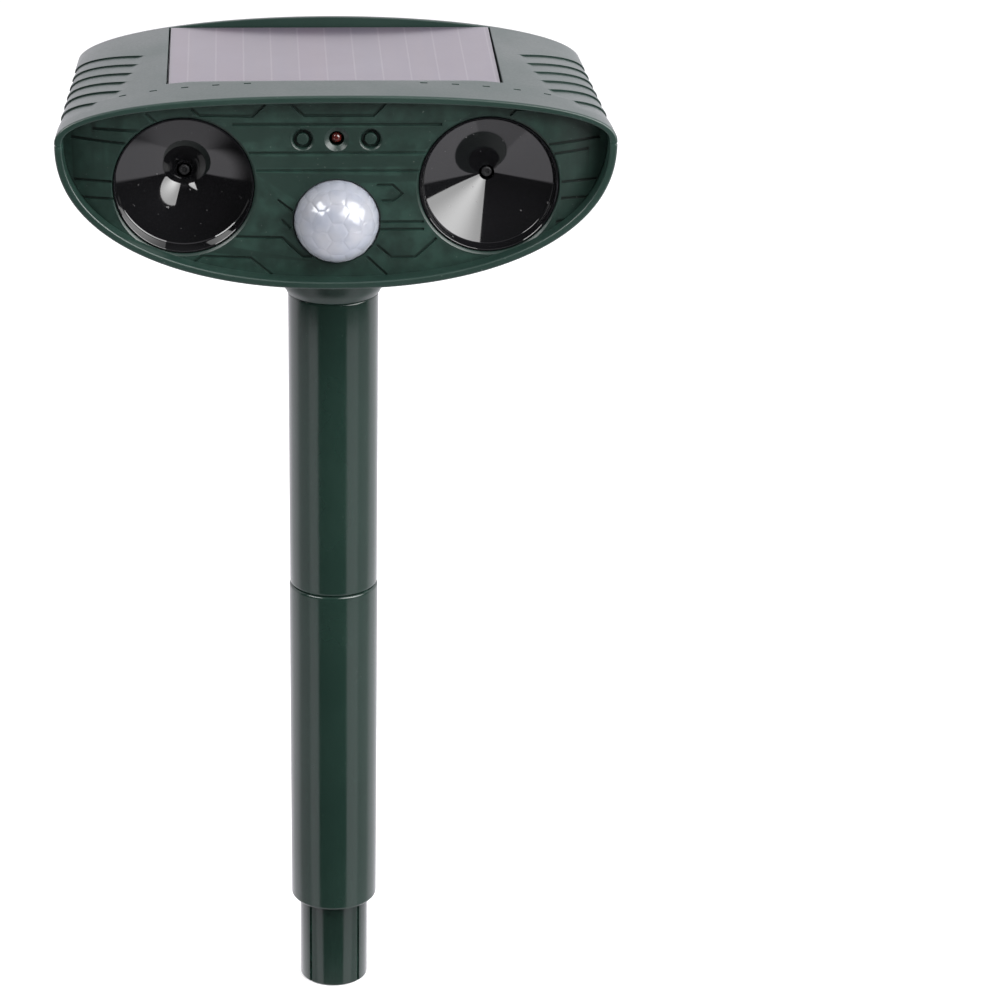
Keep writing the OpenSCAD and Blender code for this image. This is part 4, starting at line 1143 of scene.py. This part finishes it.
springs = []
for i in range(3):
    way = 1 if i == 1 else -1
    line = []
    for k in range(221):
        t = k / 220
        a = TAU * 4.6 * t
        r = 3.5 - 1.7 * t
        x = way * (CELL_FOOT_X - 0.35 - 5.95 * t)
        line.append((x, CELL_Y + r * math.cos(a), CELL_Z[i] + r * math.sin(a)))
    springs.append(coil("spring", line, 0.35, 10))
finish_piece(merged("contact_springs", springs), "head", ["battery_springs"], spring_metal, 60, False)


# ---- the CAD pieces that stay

for material, nodes in (
        (rubber, ["shell_seal", "pir_lens_ring"]), (foam_white, ["solar_adhesive"]),
        (cone_grey, ["diaphragm_left", "diaphragm_right"]),
        (brass_metal, ["piezo_disc_left", "piezo_disc_right"]),
        (matt_black, ["driver_case_left", "driver_case_right", "battery_holder"]),
        (plain_metal, ["pir_sensor", "frequency_spindle", "sensitivity_spindle", "switch_body",
                       "charge_socket"]),
        (circuit_board, ["sensor_board", "main_board"]), (chip_black, ["controller_chip"]),
        (copper_wire, ["boost_coils"]), (sleeve_blue, ["capacitors"]), (screw_metal, ["board_screws"]),
        (spring_metal, ["contact_plates"]), (control_blue, ["frequency_control", "sensitivity_control"])):
    for node in nodes:
        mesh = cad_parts[node].data
        mesh.materials.clear()
        mesh.materials.append(material)


# ---- studio

def emitter(name, centre, edge=None, reach=1.0):
    """Plain white light, brighter in the middle of the panel if edge is given."""
    material = bpy.data.materials.new(name)
    t = Tree(material)
    strength = centre
    if edge is not None:
        where = t.node("ShaderNodeTexCoord").outputs["Object"]
        far = t.node("ShaderNodeVectorMath", {0: where}, operation="LENGTH")
        strength = t.ramp(far.outputs["Value"], 0.0, reach, centre, edge, "SMOOTHSTEP")
    glow = t.node("ShaderNodeEmission", {"Color": (1.0, 1.0, 1.0, 1), "Strength": strength})
    t.node("ShaderNodeOutputMaterial", {"Surface": glow.outputs[0]})
    return material


def stage_mesh(name, points, faces, material):
    """A mesh of the studio, in metres, which isn't part of the object."""
    mesh = bpy.data.meshes.new(name)
    mesh.from_pydata([tuple(p) for p in points], [], faces)
    mesh.materials.append(material)
    obj = placed(name, mesh)
    return obj


def facing(target, azimuth, elevation, roll, distance):
    """Placement of a thing that looks at target. Azimuth 0 is in front of the object and 90 to its right."""
    a, e, r = (math.radians(v) for v in (azimuth, elevation, roll))
    back = Vector((math.sin(a) * math.cos(e), -math.cos(a) * math.cos(e), math.sin(e)))
    right = Vector((math.cos(a), math.sin(a), 0))
    up = back.cross(right)
    right, up = right * math.cos(r) + up * math.sin(r), up * math.cos(r) - right * math.sin(r)
    return Matrix(((*right, 0), (*up, 0), (*back, 0), (*(target + back * distance), 1))).transposed()


def softbox(name, azimuth, elevation, distance, width, height, centre, edge, roll):
    """A glowing panel that faces the head."""
    corners = [(i * width / 2, j * height / 2, 0) for i, j in ((-1, -1), (1, -1), (1, 1), (-1, 1))]
    obj = stage_mesh(name, corners, [(0, 3, 2, 1)], emitter(name, centre, edge, max(width, height) / 2))
    obj.matrix_world = facing(Vector((0, 0, 0.235)), azimuth, elevation, roll, distance)
    obj.visible_camera = False


FLOOR_Z = -0.0272
SKY_R = 13.5
floor_mat = bpy.data.materials.new("white_floor")
tree = Tree(floor_mat)
surface = tree.node("ShaderNodeBsdfPrincipled", {
    "Base Color": (0.62, 0.62, 0.62, 1), "Roughness": 0.9, "Specular IOR Level": 0.0,
    "Emission Color": (1, 1, 1, 1), "Emission Strength": 0.45})
tree.node("ShaderNodeOutputMaterial", {"Surface": surface.outputs[0]})
ring = [(14 * math.cos(TAU * k / 96), 14 * math.sin(TAU * k / 96), FLOOR_Z) for k in range(96)]
floor = stage_mesh("floor", ring, [tuple(range(96))], floor_mat)
floor.visible_glossy = False

sky_points = []
for i in range(13):
    e = math.radians(-2 + 92 * i / 12)
    r, z = SKY_R * math.cos(e), SKY_R * math.sin(e) + FLOOR_Z
    sky_points += [(r * math.cos(TAU * j / 48), r * math.sin(TAU * j / 48), z) for j in range(48)]
sky = stage_mesh("backdrop", sky_points, ring_faces(13, 48), emitter("pale_backdrop", 1.0))
for ray in ("glossy", "diffuse", "shadow", "transmission", "volume_scatter"):
    setattr(sky, "visible_" + ray, False)

softbox("key_right", 52, 29, 1.0, 1.15, 0.85, 14.0, 6.5, -45)
softbox("fill_left", -58, 38, 1.3, 0.80, 0.52, 14.0, 9.0, 0)


def build_world():
    """Bright walls behind the object, a pale surface below that stops short of the front, and a dark room."""
    world = bpy.data.worlds.new("studio")
    bpy.context.scene.world = world
    t = Tree(world)

    def step(value, low, high, top=1.0):
        return t.ramp(value, low, high, 0.0, top, "SMOOTHSTEP")

    x, y, z = t.node("ShaderNodeSeparateXYZ", {0: t.node("ShaderNodeTexCoord").outputs["Generated"]}).outputs
    down = t.math("MULTIPLY", z, -1.0)
    ahead = t.math("MAXIMUM", t.math("MULTIPLY", y, -1.0), 0.001)
    slope = t.math("DIVIDE", x, ahead)
    back = step(y, -0.10, 0.36, 1.28)
    above = step(z, 0.72, 0.95, 0.6)
    sides = t.math("MAXIMUM", step(slope, 0.58, 0.74), step(t.math("MULTIPLY", slope, -1.0), 0.78, 0.96))
    sides = t.math("SUBTRACT", sides, step(t.math("ABSOLUTE", slope), 1.9, 2.6, 0.42))
    sides = t.math("MAXIMUM", sides, step(down, 0.60, 0.82, 0.70))
    below = t.math("MULTIPLY", t.math("MULTIPLY", step(down, 0.255, 0.30), sides), 1.15)
    total = t.math("MAXIMUM", t.math("MAXIMUM", back, above), below)
    values = {"Color": (1.0, 0.975, 1.03, 1), "Strength": t.math("ADD", total, 0.03)}
    background = t.node("ShaderNodeBackground", values)
    t.node("ShaderNodeOutputWorld", {"Surface": background.outputs[0]})


build_world()

bpy.context.scene.view_settings.view_transform = "Standard"


# ---- camera

CAMERA_TARGET = Vector((0.0483147, 0.0, 0.1264826))
CAMERA_DISTANCE = 1.1259847
SENSOR_MM, LENS_MM = 36, 139.942717

data = bpy.data.cameras.new("camera")
data.sensor_width = SENSOR_MM
data.lens = LENS_MM
data.clip_start, data.clip_end = 0.05, 60
camera = placed("camera", data)
camera.matrix_world = facing(CAMERA_TARGET, -4.0635, 22.3743, 0.9471, CAMERA_DISTANCE)
bpy.context.scene.camera = camera
